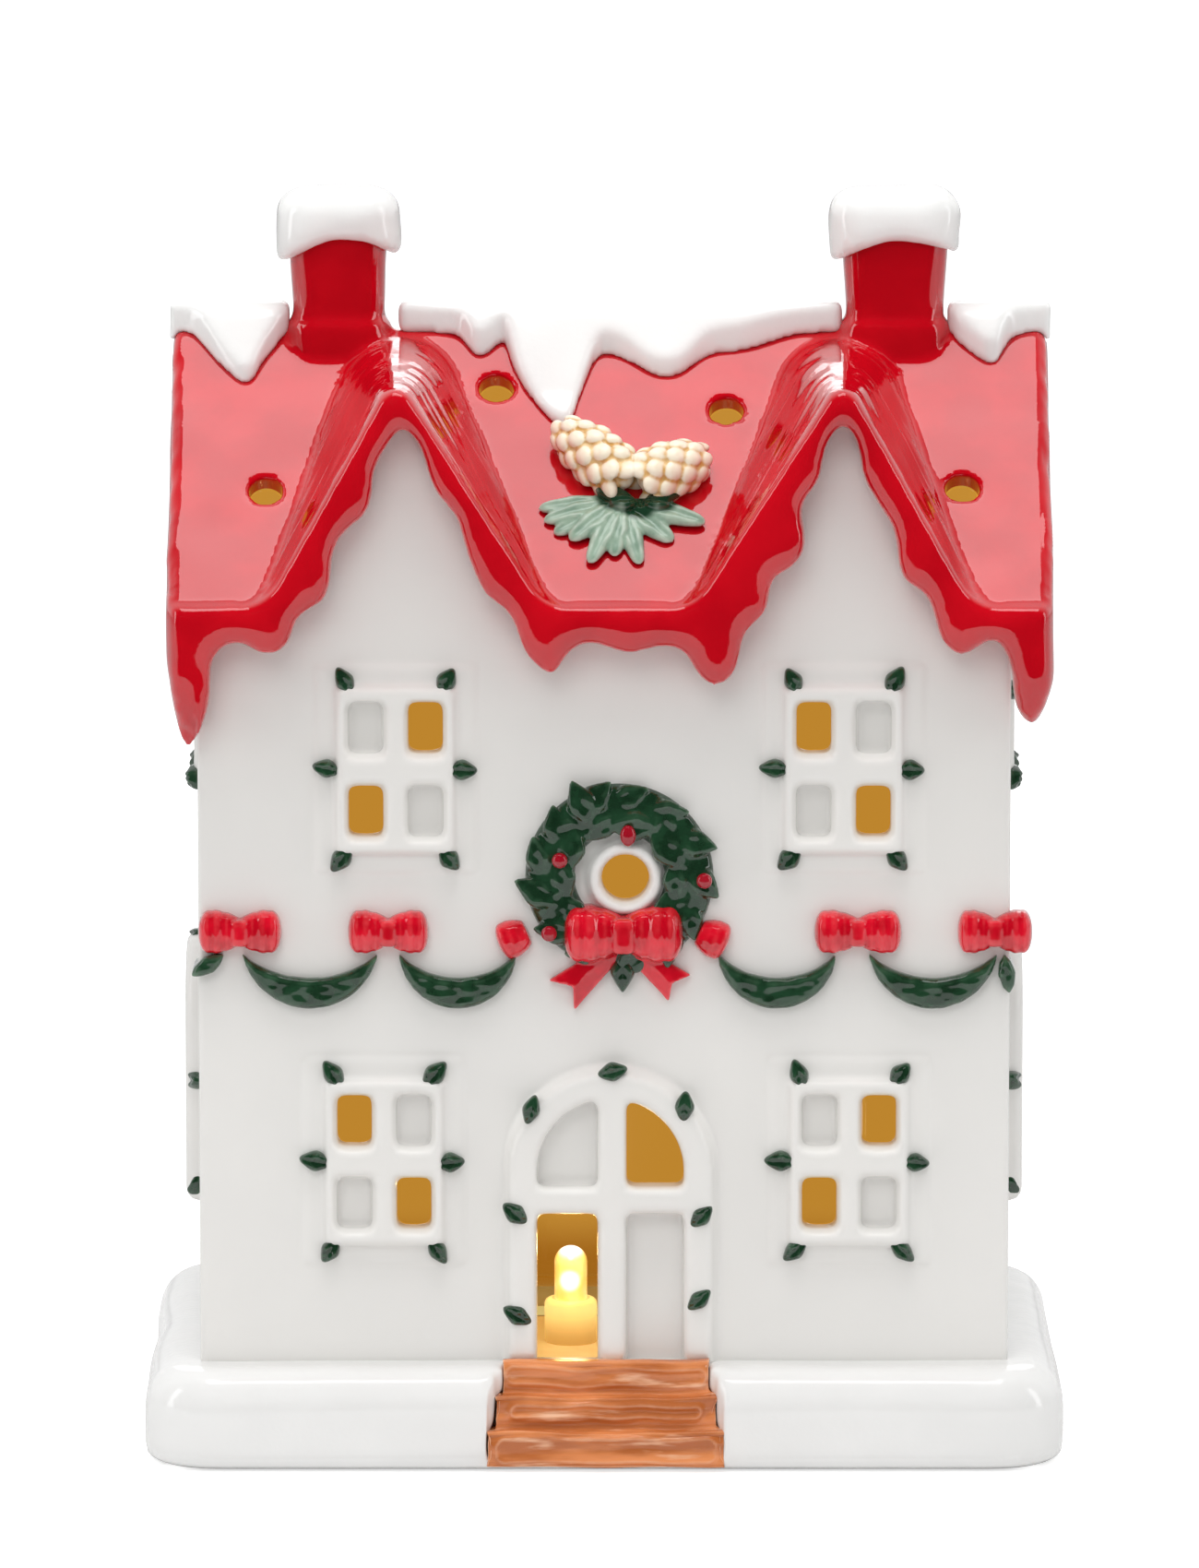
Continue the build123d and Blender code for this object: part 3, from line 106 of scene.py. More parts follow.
class Bench:
    """Selection, edit mode, modifiers and joins, as they are used by hand."""

    @staticmethod
    def clear() -> None:
        """Leave edit mode and deselect everything."""
        if bpy.context.object is not None and bpy.context.object.mode != "OBJECT":
            bpy.ops.object.mode_set(mode="OBJECT")
        bpy.ops.object.select_all(action="DESELECT")

    @staticmethod
    def take(*pieces: Piece) -> None:
        """Select only these pieces, with the first one active.

        Args:
            pieces: The pieces to work on.
        """
        Bench.clear()
        for piece in pieces:
            piece.select_set(True)
        bpy.context.view_layer.objects.active = pieces[0]

    @staticmethod
    def modify(piece: Piece, kind: str, **settings: object) -> None:
        """Add one modifier to a piece and apply it.

        Args:
            piece: The piece to change.
            kind: The modifier's type.
            settings: The modifier's own settings.
        """
        Bench.take(piece)
        step = piece.modifiers.new(kind.lower(), kind)
        for name, value in settings.items():
            setattr(step, name, value)
        bpy.ops.object.modifier_apply(modifier=step.name)

    @staticmethod
    def settle(piece: Piece) -> None:
        """Move a piece's place, turn and scale into its mesh."""
        Bench.take(piece)
        bpy.ops.object.transform_apply(location=True, rotation=True, scale=True)

    @staticmethod
    def join(name: str, pieces: Sequence[Piece]) -> Piece:
        """Join pieces into one.

        Args:
            name: The joined piece's name.
            pieces: What is joined.

        Returns:
            The joined piece.
        """
        Bench.take(*pieces)
        if len(pieces) > 1:
            bpy.ops.object.join()
        joined = bpy.context.object
        joined.name = name
        joined.data.name = name
        return joined

    @staticmethod
    @contextmanager
    def editing(piece: Piece) -> Iterator[None]:
        """Keep a piece in edit mode for a while, with all of it selected at first.

        Args:
            piece: The piece to work on.
        """
        Bench.take(piece)
        bpy.ops.object.mode_set(mode="EDIT")
        bpy.ops.mesh.select_all(action="SELECT")
        yield
        bpy.ops.object.mode_set(mode="OBJECT")

    @staticmethod
    def twin(piece: Piece, matrix: Matrix) -> Piece:
        """Return a copy of a piece with its own mesh, moved by a matrix.

        Args:
            piece: The piece to copy.
            matrix: What moves the copy.

        Returns:
            The copy.
        """
        copy = bpy.data.objects.new(piece.name, piece.data.copy())
        bpy.context.scene.collection.objects.link(copy)
        copy.data.transform(matrix)
        return copy

    @staticmethod
    def ball(segments: int, rings: int, radius: float = 1.0) -> Piece:
        """Return a new sphere round the origin.

        Args:
            segments: Its faces round the equator.
            rings: Its rows of faces.
            radius: Its radius.

        Returns:
            The sphere.
        """
        Bench.clear()
        bpy.ops.mesh.primitive_uv_sphere_add(
            segments=segments, ring_count=rings, radius=radius, location=(0, 0, 0)
        )
        return bpy.context.object

    @staticmethod
    def skin(piece: Piece, voxel: float, rounds: int, most: int | None = None) -> None:
        """Run a piece together into the thick, smooth skin of a glaze.

        Args:
            piece: The piece to change.
            voxel: The skin's grain, in metres.
            rounds: How often it is smoothed.
            most: The most triangles that it may keep, if it is thinned here.
        """
        Bench.modify(piece, "REMESH", mode="VOXEL", voxel_size=voxel, adaptivity=0.0)
        Bench.modify(piece, "SMOOTH", factor=0.5, iterations=rounds)
        if most is not None:
            Bench.thin(piece, most)

    @staticmethod
    def thin(piece: Piece, most: int) -> None:
        """Reduce a piece to at most so many triangles."""
        count = sum(len(face.vertices) - 2 for face in piece.data.polygons)
        if count > most:
            Bench.modify(piece, "DECIMATE", ratio=most / count)

    @staticmethod
    def sculpt(piece: Piece, move: Move) -> None:
        """Move each point of a piece by a function of its place and normal.

        Args:
            piece: The piece to change.
            move: Gives a point's new place.
        """
        mesh = piece.data
        places = [move(point.co.copy(), point.normal.copy()) for point in mesh.vertices]
        mesh.vertices.foreach_set("co", np.array(places, np.float32).ravel())
        mesh.update()

    @staticmethod
    def soften(piece: Piece, chosen: Test, rounds: int) -> None:
        """Smooth only some points of a piece.

        Args:
            piece: The piece to change.
            chosen: Tells if the point at a place, with a normal, is smoothed.
            rounds: How often they are smoothed.
        """
        group = piece.vertex_groups.new(name="soft")
        group.add([p.index for p in piece.data.vertices if chosen(p.co, p.normal)], 1.0, "REPLACE")
        Bench.modify(piece, "SMOOTH", factor=0.5, iterations=rounds, vertex_group=group.name)
        piece.vertex_groups.clear()

    @staticmethod
    def pillow(piece: Piece, chosen: Test, width: float, height: float) -> None:
        """Swell some points of a piece to the front, most where they lie farthest from the others.

        Args:
            piece: The piece to change.
            chosen: Tells if the point at a place, with a normal, swells.
            width: How far in from their edge the swelling is complete.
            height: How far the middle moves.
        """
        mesh = piece.data
        inside = [chosen(point.co, point.normal) for point in mesh.vertices]
        rim = {
            end for edge in mesh.edges for end, other in (edge.vertices, reversed(edge.vertices))
            if inside[other] and not inside[end]
        }
        tree = KDTree(len(rim))
        for index in rim:
            tree.insert(mesh.vertices[index].co, index)
        tree.balance()
        for point, moves in zip(mesh.vertices, inside):
            if moves:
                share = min(tree.find(point.co)[2] / width, 1.0)
                point.co += Vector((0, -height * math.sqrt(1.0 - (1.0 - share) ** 2), 0))
        mesh.update()

    @staticmethod
    def crest(piece: Piece, rounds: int, gain: float) -> None:
        """Store how ridged or hollow each point is, from 0 hollow to 1 ridged.

        Args:
            piece: The piece to measure.
            rounds: How often the measure is spread to the neighbours.
            gain: How strongly the measure departs from one half.
        """
        mesh = piece.data
        count = len(mesh.vertices)
        place = np.empty(count * 3, np.float32)
        mesh.vertices.foreach_get("co", place)
        place = place.reshape(-1, 3)
        normal = np.array([point.normal for point in mesh.vertices], np.float32)
        ends = np.empty(len(mesh.edges) * 2, np.int32)
        mesh.edges.foreach_get("vertices", ends)
        first, second = ends[0::2], ends[1::2]
        shares = np.maximum(np.bincount(ends, minlength=count), 1)

        def spread(values: np.ndarray) -> np.ndarray:
            """Return the mean of each point's neighbours."""
            total = np.bincount(first, values[second], count) + np.bincount(second, values[first], count)
            return total / shares

        mean = np.stack([spread(place[:, axis]) for axis in range(3)], axis=1)
        length = float(np.linalg.norm(place[first] - place[second], axis=1).mean())
        bend = ((place - mean) * normal).sum(axis=1) / max(length, 1e-9)
        for _ in range(rounds):
            bend = 0.5 * bend + 0.5 * spread(bend)
        values = np.clip(0.5 + gain * bend, 0, 1).astype(np.float32)
        mesh.attributes.new("crest", "FLOAT", "POINT").data.foreach_set("value", values)


class Wiring:
    """Adds nodes to a shader tree, each with its settings and inputs in one call."""

    def __init__(self, tree: bpy.types.NodeTree) -> None:
        """Work on one tree."""
        self.tree = tree

    def set(self, node: bpy.types.Node, inputs: Inputs) -> None:
        """Set a node's inputs, or link them.

        Args:
            node: The node.
            inputs: A value or another node's output for each input's name or number.
        """
        for key, value in inputs.items():
            socket = node.inputs[key]
            if isinstance(value, bpy.types.NodeSocket):
                self.tree.links.new(value, socket)
            elif socket.type == "RGBA" and len(value) == 3:
                socket.default_value = (*value, 1.0)
            else:
                socket.default_value = value

    def add(self, kind: str, inputs: Inputs | None = None, **settings: object) -> bpy.types.Node:
        """Add one node.

        Args:
            kind: Its type, without the word that all shader nodes begin with.
            inputs: What its inputs are set or linked to.
            settings: Its own settings.

        Returns:
            The node.
        """
        node = self.tree.nodes.new(f"ShaderNode{kind}")
        for name, value in settings.items():
            setattr(node, name, value)
        self.set(node, inputs or {})
        return node

    def maths(self, operation: str, *values: Value) -> Socket:
        """Return the output of one sum."""
        return self.add("Math", dict(enumerate(values)), operation=operation).outputs[0]

    def split(self, vector: Socket) -> bpy.types.Node:
        """Return the node that parts a vector into X, Y and Z."""
        return self.add("SeparateXYZ", {0: vector})

    def ramp(self, value: Socket, low: Value, high: Value, more: Inputs | None = None) -> Socket:
        """Return 0 where a value is low and 1 where it is high, eased between them.

        Args:
            value: The value.
            low: Where it counts as low.
            high: Where it counts as high.
            more: Other ends than 0 and 1.

        Returns:
            The eased value.
        """
        inputs = {"Value": value, "From Min": low, "From Max": high, **(more or {})}
        return self.add("MapRange", inputs, interpolation_type="SMOOTHSTEP").outputs["Result"]

    def noise(self, vector: Socket, scale: Value, detail: float) -> Socket:
        """Return noise of a given scale and detail."""
        return self.add("TexNoise", {"Vector": vector, "Scale": scale, "Detail": detail}).outputs["Fac"]


class EffectBook:
    """Builds each shared shader group once and hands it out."""

    inputs: dict[Effect, dict[str, float]] = {
        Effect.CLOUD: {"Scale": 60.0, "Low": 0.35, "High": 0.65},
        Effect.RIPPLE: {"Slow": 70.0, "Fine": 900.0, "Peel": 0.12},
        Effect.STREAK: {"Scale": 300.0, "Low": 0.4, "High": 0.65},
        Effect.LAMPLIT: {
            "Half Length": 59.0 * MM, "Half Depth": 32.6 * MM, "Shift": 0.0,
            "Ridge": 165.5 * MM, "Fall": 0.929,
        },
        Effect.CREST: {"Crest": 0.5, "Low": 0.5, "High": 0.8, "Grain": 500.0},
    }

    def __init__(self) -> None:
        """Start with no group built."""
        self.built: dict[Effect, bpy.types.NodeTree] = {}

    def get(self, effect: Effect) -> bpy.types.NodeTree:
        """Return an effect's group, building it the first time.

        Args:
            effect: Which group.

        Returns:
            The group.
        """
        if effect not in self.built:
            tree = bpy.data.node_groups.new(effect.value, "ShaderNodeTree")
            tree.interface.new_socket("Vector", in_out="INPUT", socket_type="NodeSocketVector")
            for name, value in self.inputs[effect].items():
                socket = tree.interface.new_socket(name, in_out="INPUT", socket_type="NodeSocketFloat")
                socket.default_value = value
            tree.interface.new_socket("Value", in_out="OUTPUT", socket_type="NodeSocketFloat")
            given = tree.nodes.new("NodeGroupInput").outputs
            result = tree.nodes.new("NodeGroupOutput")
            value = getattr(self, effect.name.lower())(Wiring(tree), given)
            tree.links.new(value, result.inputs["Value"])
            self.built[effect] = tree
        return self.built[effect]

    @staticmethod
    def cloud(wires: Wiring, given: Sockets) -> Socket:
        """Return soft clouds of a given size and softness."""
        return wires.ramp(wires.noise(given["Vector"], given["Scale"], 3.0), given["Low"], given["High"])

    @staticmethod
    def ripple(wires: Wiring, given: Sockets) -> Socket:
        """Return the height of a glaze's slow ripple with its fine orange peel."""
        peel = wires.maths("MULTIPLY", wires.noise(given["Vector"], given["Fine"], 2.0), given["Peel"])
        return wires.maths("ADD", wires.noise(given["Vector"], given["Slow"], 1.5), peel)

    @staticmethod
    def streak(wires: Wiring, given: Sockets) -> Socket:
        """Return brushed streaks that run along X."""
        long = wires.add("VectorMath", {0: given["Vector"], 1: (0.16, 1.0, 1.0)}, operation="MULTIPLY")
        return wires.ramp(wires.noise(long.outputs[0], given["Scale"], 4.0), given["Low"], given["High"])

    @staticmethod
    def lamplit(wires: Wiring, given: Sockets) -> Socket:
        """Return 1 inside the walls and under the roof, 0 outside: where lamplight is painted.

        Args:
            wires: The group's wiring.
            given: The group's inputs.

        Returns:
            The mask.
        """
        place = wires.split(given["Vector"]).outputs
        along = wires.maths("ABSOLUTE", wires.maths("SUBTRACT", place["Y"], given["Shift"]))
        ceiling = wires.maths("SUBTRACT", given["Ridge"], wires.maths("MULTIPLY", along, given["Fall"]))
        mask = wires.maths("LESS_THAN", wires.maths("ABSOLUTE", place["X"]), given["Half Length"])
        for test in (
            wires.maths("LESS_THAN", along, given["Half Depth"]),
            wires.maths("LESS_THAN", place["Z"], ceiling),
            wires.maths("GREATER_THAN", place["Z"], 6.2 * MM),
        ):
            mask = wires.maths("MULTIPLY", mask, test)
        return mask

    @staticmethod
    def crest(wires: Wiring, given: Sockets) -> Socket:
        """Return how much the glaze has run off a ridge and how much highlight is painted there, roughened
        by fine noise.
        """
        grain = wires.noise(given["Vector"], given["Grain"], 2.0)
        ridged = wires.maths("MULTIPLY_ADD", grain, 0.16, given["Crest"])
        return wires.ramp(ridged, given["Low"], given["High"])


BOOK = EffectBook()
DARK: Colour = (0.0, 0.0, 0.0)
# Painted lamplight: colours that the inside of the house emits as a glow, in place of real light from the
# lamp.
LAMPLIGHT: Colour = (0.479, 0.223, 0.026)
LAMP_SHADE: Colour = (0.31, 0.11, 0.006)
LAMP_FLOOR: Colour = (0.66, 0.50, 0.17)


class Recipe(Wiring):
    """One material's nodes, from its coordinates to its shader."""

    def __init__(self, name: str, roughness: float, coat: float = 0.0) -> None:
        """Start a material.

        Args:
            name: The material's name.
            roughness: The surface's roughness.
            coat: The clear coat's weight.
        """
        self.material = bpy.data.materials.new(name)
        self.material.use_nodes = True
        super().__init__(self.material.node_tree)
        self.shader = self.tree.nodes["Principled BSDF"]
        self.set(self.shader, {"Roughness": roughness, "Coat Weight": coat, "Coat Roughness": 0.03})
        self.where = self.add("TexCoord").outputs["Object"]

    def effect(self, effect: Effect, **values: Value) -> Socket:
        """Return a shared effect's output, with its own values.

        Args:
            effect: Which shared group to place.
            values: Its inputs, with underscores for spaces.

        Returns:
            The group's output.
        """
        placed = self.add("Group", {"Vector": self.where}, node_tree=BOOK.get(effect))
        self.set(placed, {name.replace("_", " "): value for name, value in values.items()})
        return placed.outputs["Value"]

    def mix(self, share: Value, low: Value, high: Value) -> Socket:
        """Return a blend of two colours, each a colour or a socket."""
        return self.add("Mix", {0: share, 6: low, 7: high}, data_type="RGBA").outputs[2]

    def crest(self, low: float, high: float) -> Socket:
        """Return where the glaze has run off the piece's ridges, which also carry a painted highlight."""
        stored = self.add("Attribute", attribute_name="crest").outputs["Fac"]
        return self.effect(Effect.CREST, Crest=stored, Low=low, High=high)

    def climb(self, start: float, end: float) -> Socket:
        """Return a mask that rises from 0 to 1 between two heights."""
        return self.ramp(self.split(self.where).outputs["Z"], start, end)

    def spot(self, centre: Place, near: float, far: float) -> Socket:
        """Return a mask that is 1 near a point and 0 far from it."""
        gap = self.add("VectorMath", {0: self.where, 1: centre}, operation="DISTANCE")
        return self.ramp(gap.outputs["Value"], far, near)

    def lamplight(self) -> Socket:
        """Return the lamp's light painted on the inside as an emitted glow, palest at the floor."""
        low = self.mix(self.climb(6 * MM, 14 * MM), LAMP_FLOOR, LAMP_SHADE)
        return self.mix(self.climb(17 * MM, 26 * MM), low, LAMPLIGHT)

    def colour(self, value: Value) -> None:
        """Set or link the base colour."""
        self.set(self.shader, {"Base Color": value})

    def glow(self, value: Value, strength: float = 1.0) -> None:
        """Set or link the emitted colour."""
        self.set(self.shader, {"Emission Color": value, "Emission Strength": strength})

    def bump(self, height: Socket, strength: float, distance: float) -> None:
        """Feed a height to the normal."""
        relief = self.add("Bump", {"Strength": strength, "Distance": distance, "Height": height})
        self.set(self.shader, {"Normal": relief.outputs[0]})


@dataclass(frozen=True)
class Glaze:
    """A fired glaze: its colour, where it pools, where it breaks on ridges with a painted highlight there,
    and its gloss.
    """

    name: str
    body: Colour
    pooled: Colour
    ridge_break_and_highlight: Colour
    roughness: float = 0.08
    coat: float = 0.6
    cloud: float = 60.0
    crest_low: float = 0.62
    crest_high: float = 0.95
    ripple: float = 0.1
    ripple_depth: float = 0.0004
    lamplit: bool = False
    hollows: tuple[dict[str, float], ...] = ()
    spots: tuple[Place, ...] = ()
    spot_near: float = 0.0025
    spot_far: float = 0.0037
    spot_colour: Colour = (0.010, 0.045, 0.020)

    def material(self) -> Material:
        """Return the glaze as a material.

        Returns:
            The material.
        """
        mix = Recipe(self.name, self.roughness, self.coat)
        colour = mix.mix(mix.effect(Effect.CLOUD, Scale=self.cloud), self.body, self.pooled)
        # Ridges take the lighter colour: glaze break and painted highlight.
        colour = mix.mix(mix.crest(self.crest_low, self.crest_high), colour, self.ridge_break_and_highlight)
        # Painted lamplight: inside the house the glaze is darkened almost to black and glows with the lamp's
        # colours.
        if self.lamplit:
            inside = mix.effect(Effect.LAMPLIT)
            for hollow in self.hollows:
                inside = mix.maths("MAXIMUM", inside, mix.effect(Effect.LAMPLIT, Fall=0.0, **hollow))
            colour = mix.mix(inside, colour, (0.02, 0.01, 0.002))
            mix.glow(mix.mix(inside, DARK, mix.lamplight()))
        for centre in self.spots:
            colour = mix.mix(mix.spot(centre, self.spot_near, self.spot_far), colour, self.spot_colour)
        mix.colour(colour)
        mix.bump(mix.effect(Effect.RIPPLE), self.ripple, self.ripple_depth)
        return mix.material


WALL = Glaze(
    "white_wall_glaze", (0.84, 0.825, 0.795), (0.82, 0.807, 0.78), (0.88, 0.875, 0.86),
    roughness=0.22, coat=0.25, cloud=30.0, lamplit=True,
)
SNOW = Glaze(
    "white_snow_glaze", (0.87, 0.868, 0.855), (0.84, 0.838, 0.825), (0.9, 0.9, 0.895),
    roughness=0.12, coat=0.5, cloud=45.0, ripple=0.2, ripple_depth=0.001, lamplit=True,
    hollows=(
        dict(Half_Length=0.0655, Half_Depth=0.0375, Shift=0.0040, Ridge=0.0120),
        dict(Half_Length=0.0625, Half_Depth=0.0360, Shift=0.0025, Ridge=0.0147),
    ),
)
RED = Glaze(
    "red_roof_glaze", (0.60, 0.002, 0.010), (0.52, 0.001, 0.008), (0.72, 0.02, 0.03),
    roughness=0.06, coat=0.8, cloud=90.0, crest_low=0.66, crest_high=1.0,
    ripple=0.16, ripple_depth=0.001, lamplit=True,
)
RIBBON = Glaze(
    "red_ribbon_glaze", (0.76, 0.004, 0.022), (0.56, 0.001, 0.012), (0.88, 0.09, 0.10),
    roughness=0.09, coat=0.7, cloud=260.0, crest_low=0.58, crest_high=0.9,
)
BERRY = Glaze(
    "red_berry_glaze", (0.36, 0.002, 0.015), (0.28, 0.001, 0.01), (0.6, 0.05, 0.06), roughness=0.1,
)
GREEN = Glaze(
    "dark_green_glaze", (0.014, 0.055, 0.024), (0.007, 0.030, 0.012), (0.085, 0.17, 0.10),
    roughness=0.12, coat=0.6, cloud=300.0, crest_low=0.60, crest_high=0.92,
)
SAGE = Glaze(
    "sage_sprig_glaze", (0.30, 0.42, 0.32), (0.20, 0.31, 0.23), (0.48, 0.56, 0.46),
    roughness=0.16, coat=0.4, cloud=330.0, crest_low=0.55, crest_high=0.85,
    spots=((0.0018, -0.0266, 0.1465), (0.0053, -0.0276, 0.1454), (0.0088, -0.0268, 0.1462)),
)
CONE = Glaze(
    "cream_cone_glaze", (0.85, 0.62, 0.32), (0.66, 0.36, 0.10), (0.96, 0.88, 0.70),
    roughness=0.14, coat=0.5, cloud=400.0, crest_low=0.50, crest_high=0.66,
)


@dataclass(frozen=True)
class SteppedClay:
    """The terracotta glaze of the doorstep, brushed on along the treads."""

    name: str = "terracotta_step_glaze"
    body: Colour = (0.82, 0.29, 0.10)
    dark: Colour = (0.50, 0.14, 0.035)
    light: Colour = (0.96, 0.56, 0.35)

    def material(self) -> Material:
        """Return the clay as a material.

        Returns:
            The material.
        """
        mix = Recipe(self.name, 0.2, 0.35)
        streaks = mix.effect(Effect.STREAK, Scale=330.0, Low=0.38, High=0.66)
        colour = mix.mix(streaks, self.dark, self.body)
        colour = mix.mix(mix.effect(Effect.STREAK, Scale=520.0, Low=0.55, High=0.75), colour, self.light)
        # Ridges take the light colour as with every glaze: glaze break and painted highlight.
        mix.colour(mix.mix(mix.crest(0.60, 1.15), colour, self.light))
        mix.bump(mix.effect(Effect.STREAK, Scale=420.0, Low=0.2, High=0.8), 0.35, 0.0005)
        return mix.material


@dataclass(frozen=True)
class Moulded:
    """A moulded plastic or rubber with a fine texture, which may glow with painted lamplight inside the
    house.
    """

    name: str
    body: Colour
    roughness: float
    lamplit: bool = False

    def material(self) -> Material:
        """Return the plastic as a material.

        Returns:
            The material.
        """
        mix = Recipe(self.name, self.roughness)
        shade = tuple(0.93 * part for part in self.body)
        mix.colour(mix.mix(mix.effect(Effect.CLOUD, Scale=180.0), self.body, shade))
        # Painted lamplight: inside the house the plastic glows amber.
        if self.lamplit:
            mix.glow(mix.mix(mix.effect(Effect.LAMPLIT), DARK, (0.36, 0.19, 0.05)))
        mix.bump(mix.effect(Effect.RIPPLE, Slow=400.0, Fine=4200.0, Peel=0.6), 0.15, 0.0001)
        return mix.material


@dataclass(frozen=True)
class Plated:
    """A plated or plain metal with fine brushing."""

    name: str
    body: Colour
    roughness: float

    def material(self) -> Material:
        """Return the metal as a material.

        Returns:
            The material.
        """
        mix = Recipe(self.name, self.roughness)
        mix.set(mix.shader, {"Metallic": 1.0})
        shade = tuple(0.8 * part for part in self.body)
        mix.colour(mix.mix(mix.effect(Effect.STREAK, Scale=2600.0), shade, self.body))
        mix.bump(mix.effect(Effect.STREAK, Scale=3600.0), 0.12, 0.00005)
        return mix.material


@dataclass(frozen=True)
class LitLens:
    """The lamp's lens, lit from a chip at its foot and again at its tip."""

    chip: Place = (-0.0053, -0.0026, 0.0206)
    tip: Place = (-0.0051, -0.0006, 0.0252)

    def material(self) -> Material:
        """Return the lit lens as a material.

        Returns:
            The material.
        """
        mix = Recipe("lit_lamp_lens", 0.05, 1.0)
        mix.colour((0.9, 0.7, 0.3))
        glow = mix.mix(mix.effect(Effect.CLOUD, Scale=420.0), (0.84, 0.50, 0.11), (0.92, 0.68, 0.25))
        glow = mix.mix(mix.spot(self.chip, 0.0008, 0.0021), glow, (2.0, 1.9, 1.5))
        glow = mix.mix(mix.spot(self.tip, 0.0010, 0.0024), glow, (2.2, 2.1, 1.8))
        mix.glow(glow, 0.9)
        return mix.material


@dataclass(frozen=True)
class LitCollar:
    """The collar under the lens, with painted lamplight: bright at its shoulder by the lens and darker at
    its foot.
    """

    low: float = 0.0108
    high: float = 0.0172

    def material(self) -> Material:
        """Return the collar as a material.

        Returns:
            The material.
        """
        mix = Recipe("lit_lamp_collar", 0.25, 0.2)
        rise = mix.climb(self.low, self.high)
        # Painted lamplight: colour and glow rise from the foot to the shoulder.
        mix.colour(mix.mix(rise, (0.45, 0.27, 0.08), (0.85, 0.66, 0.25)))
        mix.glow(mix.mix(rise, (0.42, 0.24, 0.06), (0.90, 0.70, 0.24)), 0.9)
        return mix.material


@dataclass
class Foundry:
    """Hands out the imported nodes, casts of them and finished pieces."""

    nodes: dict[str, Piece]

    def cast(self, name: str, *nodes: str) -> Piece:
        """Return one welded copy of some nodes.

        Args:
            name: The copy's name.
            nodes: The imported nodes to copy.

        Returns:
            The copy.
        """
        piece = Bench.join(name, [Bench.twin(self.nodes[node], Matrix()) for node in nodes])
        piece.data.materials.clear()
        with Bench.editing(piece):
            bpy.ops.mesh.remove_doubles(threshold=1e-6)
            bpy.ops.mesh.normals_make_consistent(inside=False)
        return piece

    def fire(
        self, name: str, node: str, skin: Skin, move: Move, glaze: Material,
        slot: Slot, spread: int = 2, gain: float = 1.0,
    ) -> None:
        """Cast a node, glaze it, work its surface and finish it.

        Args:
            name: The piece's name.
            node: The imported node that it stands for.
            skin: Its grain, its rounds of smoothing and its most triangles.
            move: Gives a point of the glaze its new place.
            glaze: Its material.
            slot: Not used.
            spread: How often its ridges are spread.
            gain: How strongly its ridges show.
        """
        piece = self.cast(name, node)
        Bench.skin(piece, *skin)
        Bench.sculpt(piece, move)
        self.finish(piece, glaze, slot, (node,), spread, gain)

    @staticmethod
    def islands(piece: Piece) -> list[np.ndarray]:
        """Return the points of each separate solid in a piece.

        Args:
            piece: The piece, which is used up.

        Returns:
            One array of places for each solid.
        """
        with Bench.editing(piece):
            bpy.ops.mesh.separate(type="LOOSE")
        parts = list(bpy.context.selected_objects)
        clouds = [np.array([point.co for point in part.data.vertices]) for part in parts]
        for part in parts:
            bpy.data.objects.remove(part)
        return clouds

    def finish(
        self, piece: Piece, glaze: Material, slot: Slot,
        replaced: Sequence[str] = (), spread: int = 2, gain: float = 1.0,
    ) -> None:
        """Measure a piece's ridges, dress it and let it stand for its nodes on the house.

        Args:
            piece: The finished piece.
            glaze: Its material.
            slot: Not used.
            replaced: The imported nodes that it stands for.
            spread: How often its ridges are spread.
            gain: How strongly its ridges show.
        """
        Bench.crest(piece, spread, gain)
        Bench.take(piece)
        bpy.ops.object.shade_smooth()
        piece.data.materials.clear()
        piece.data.materials.append(glaze)
        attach(piece, HOUSE)
        if replaced:
            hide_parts(*replaced)
        LOG.info("%s: %d faces", piece.name, len(piece.data.polygons))


WINDOW_NODES = (
    "window_upper_left", "window_upper_right", "window_lower_left", "window_lower_right",
    "windows_back", "windows_side_upper", "windows_side_lower", "door_frame", "round_window",
)


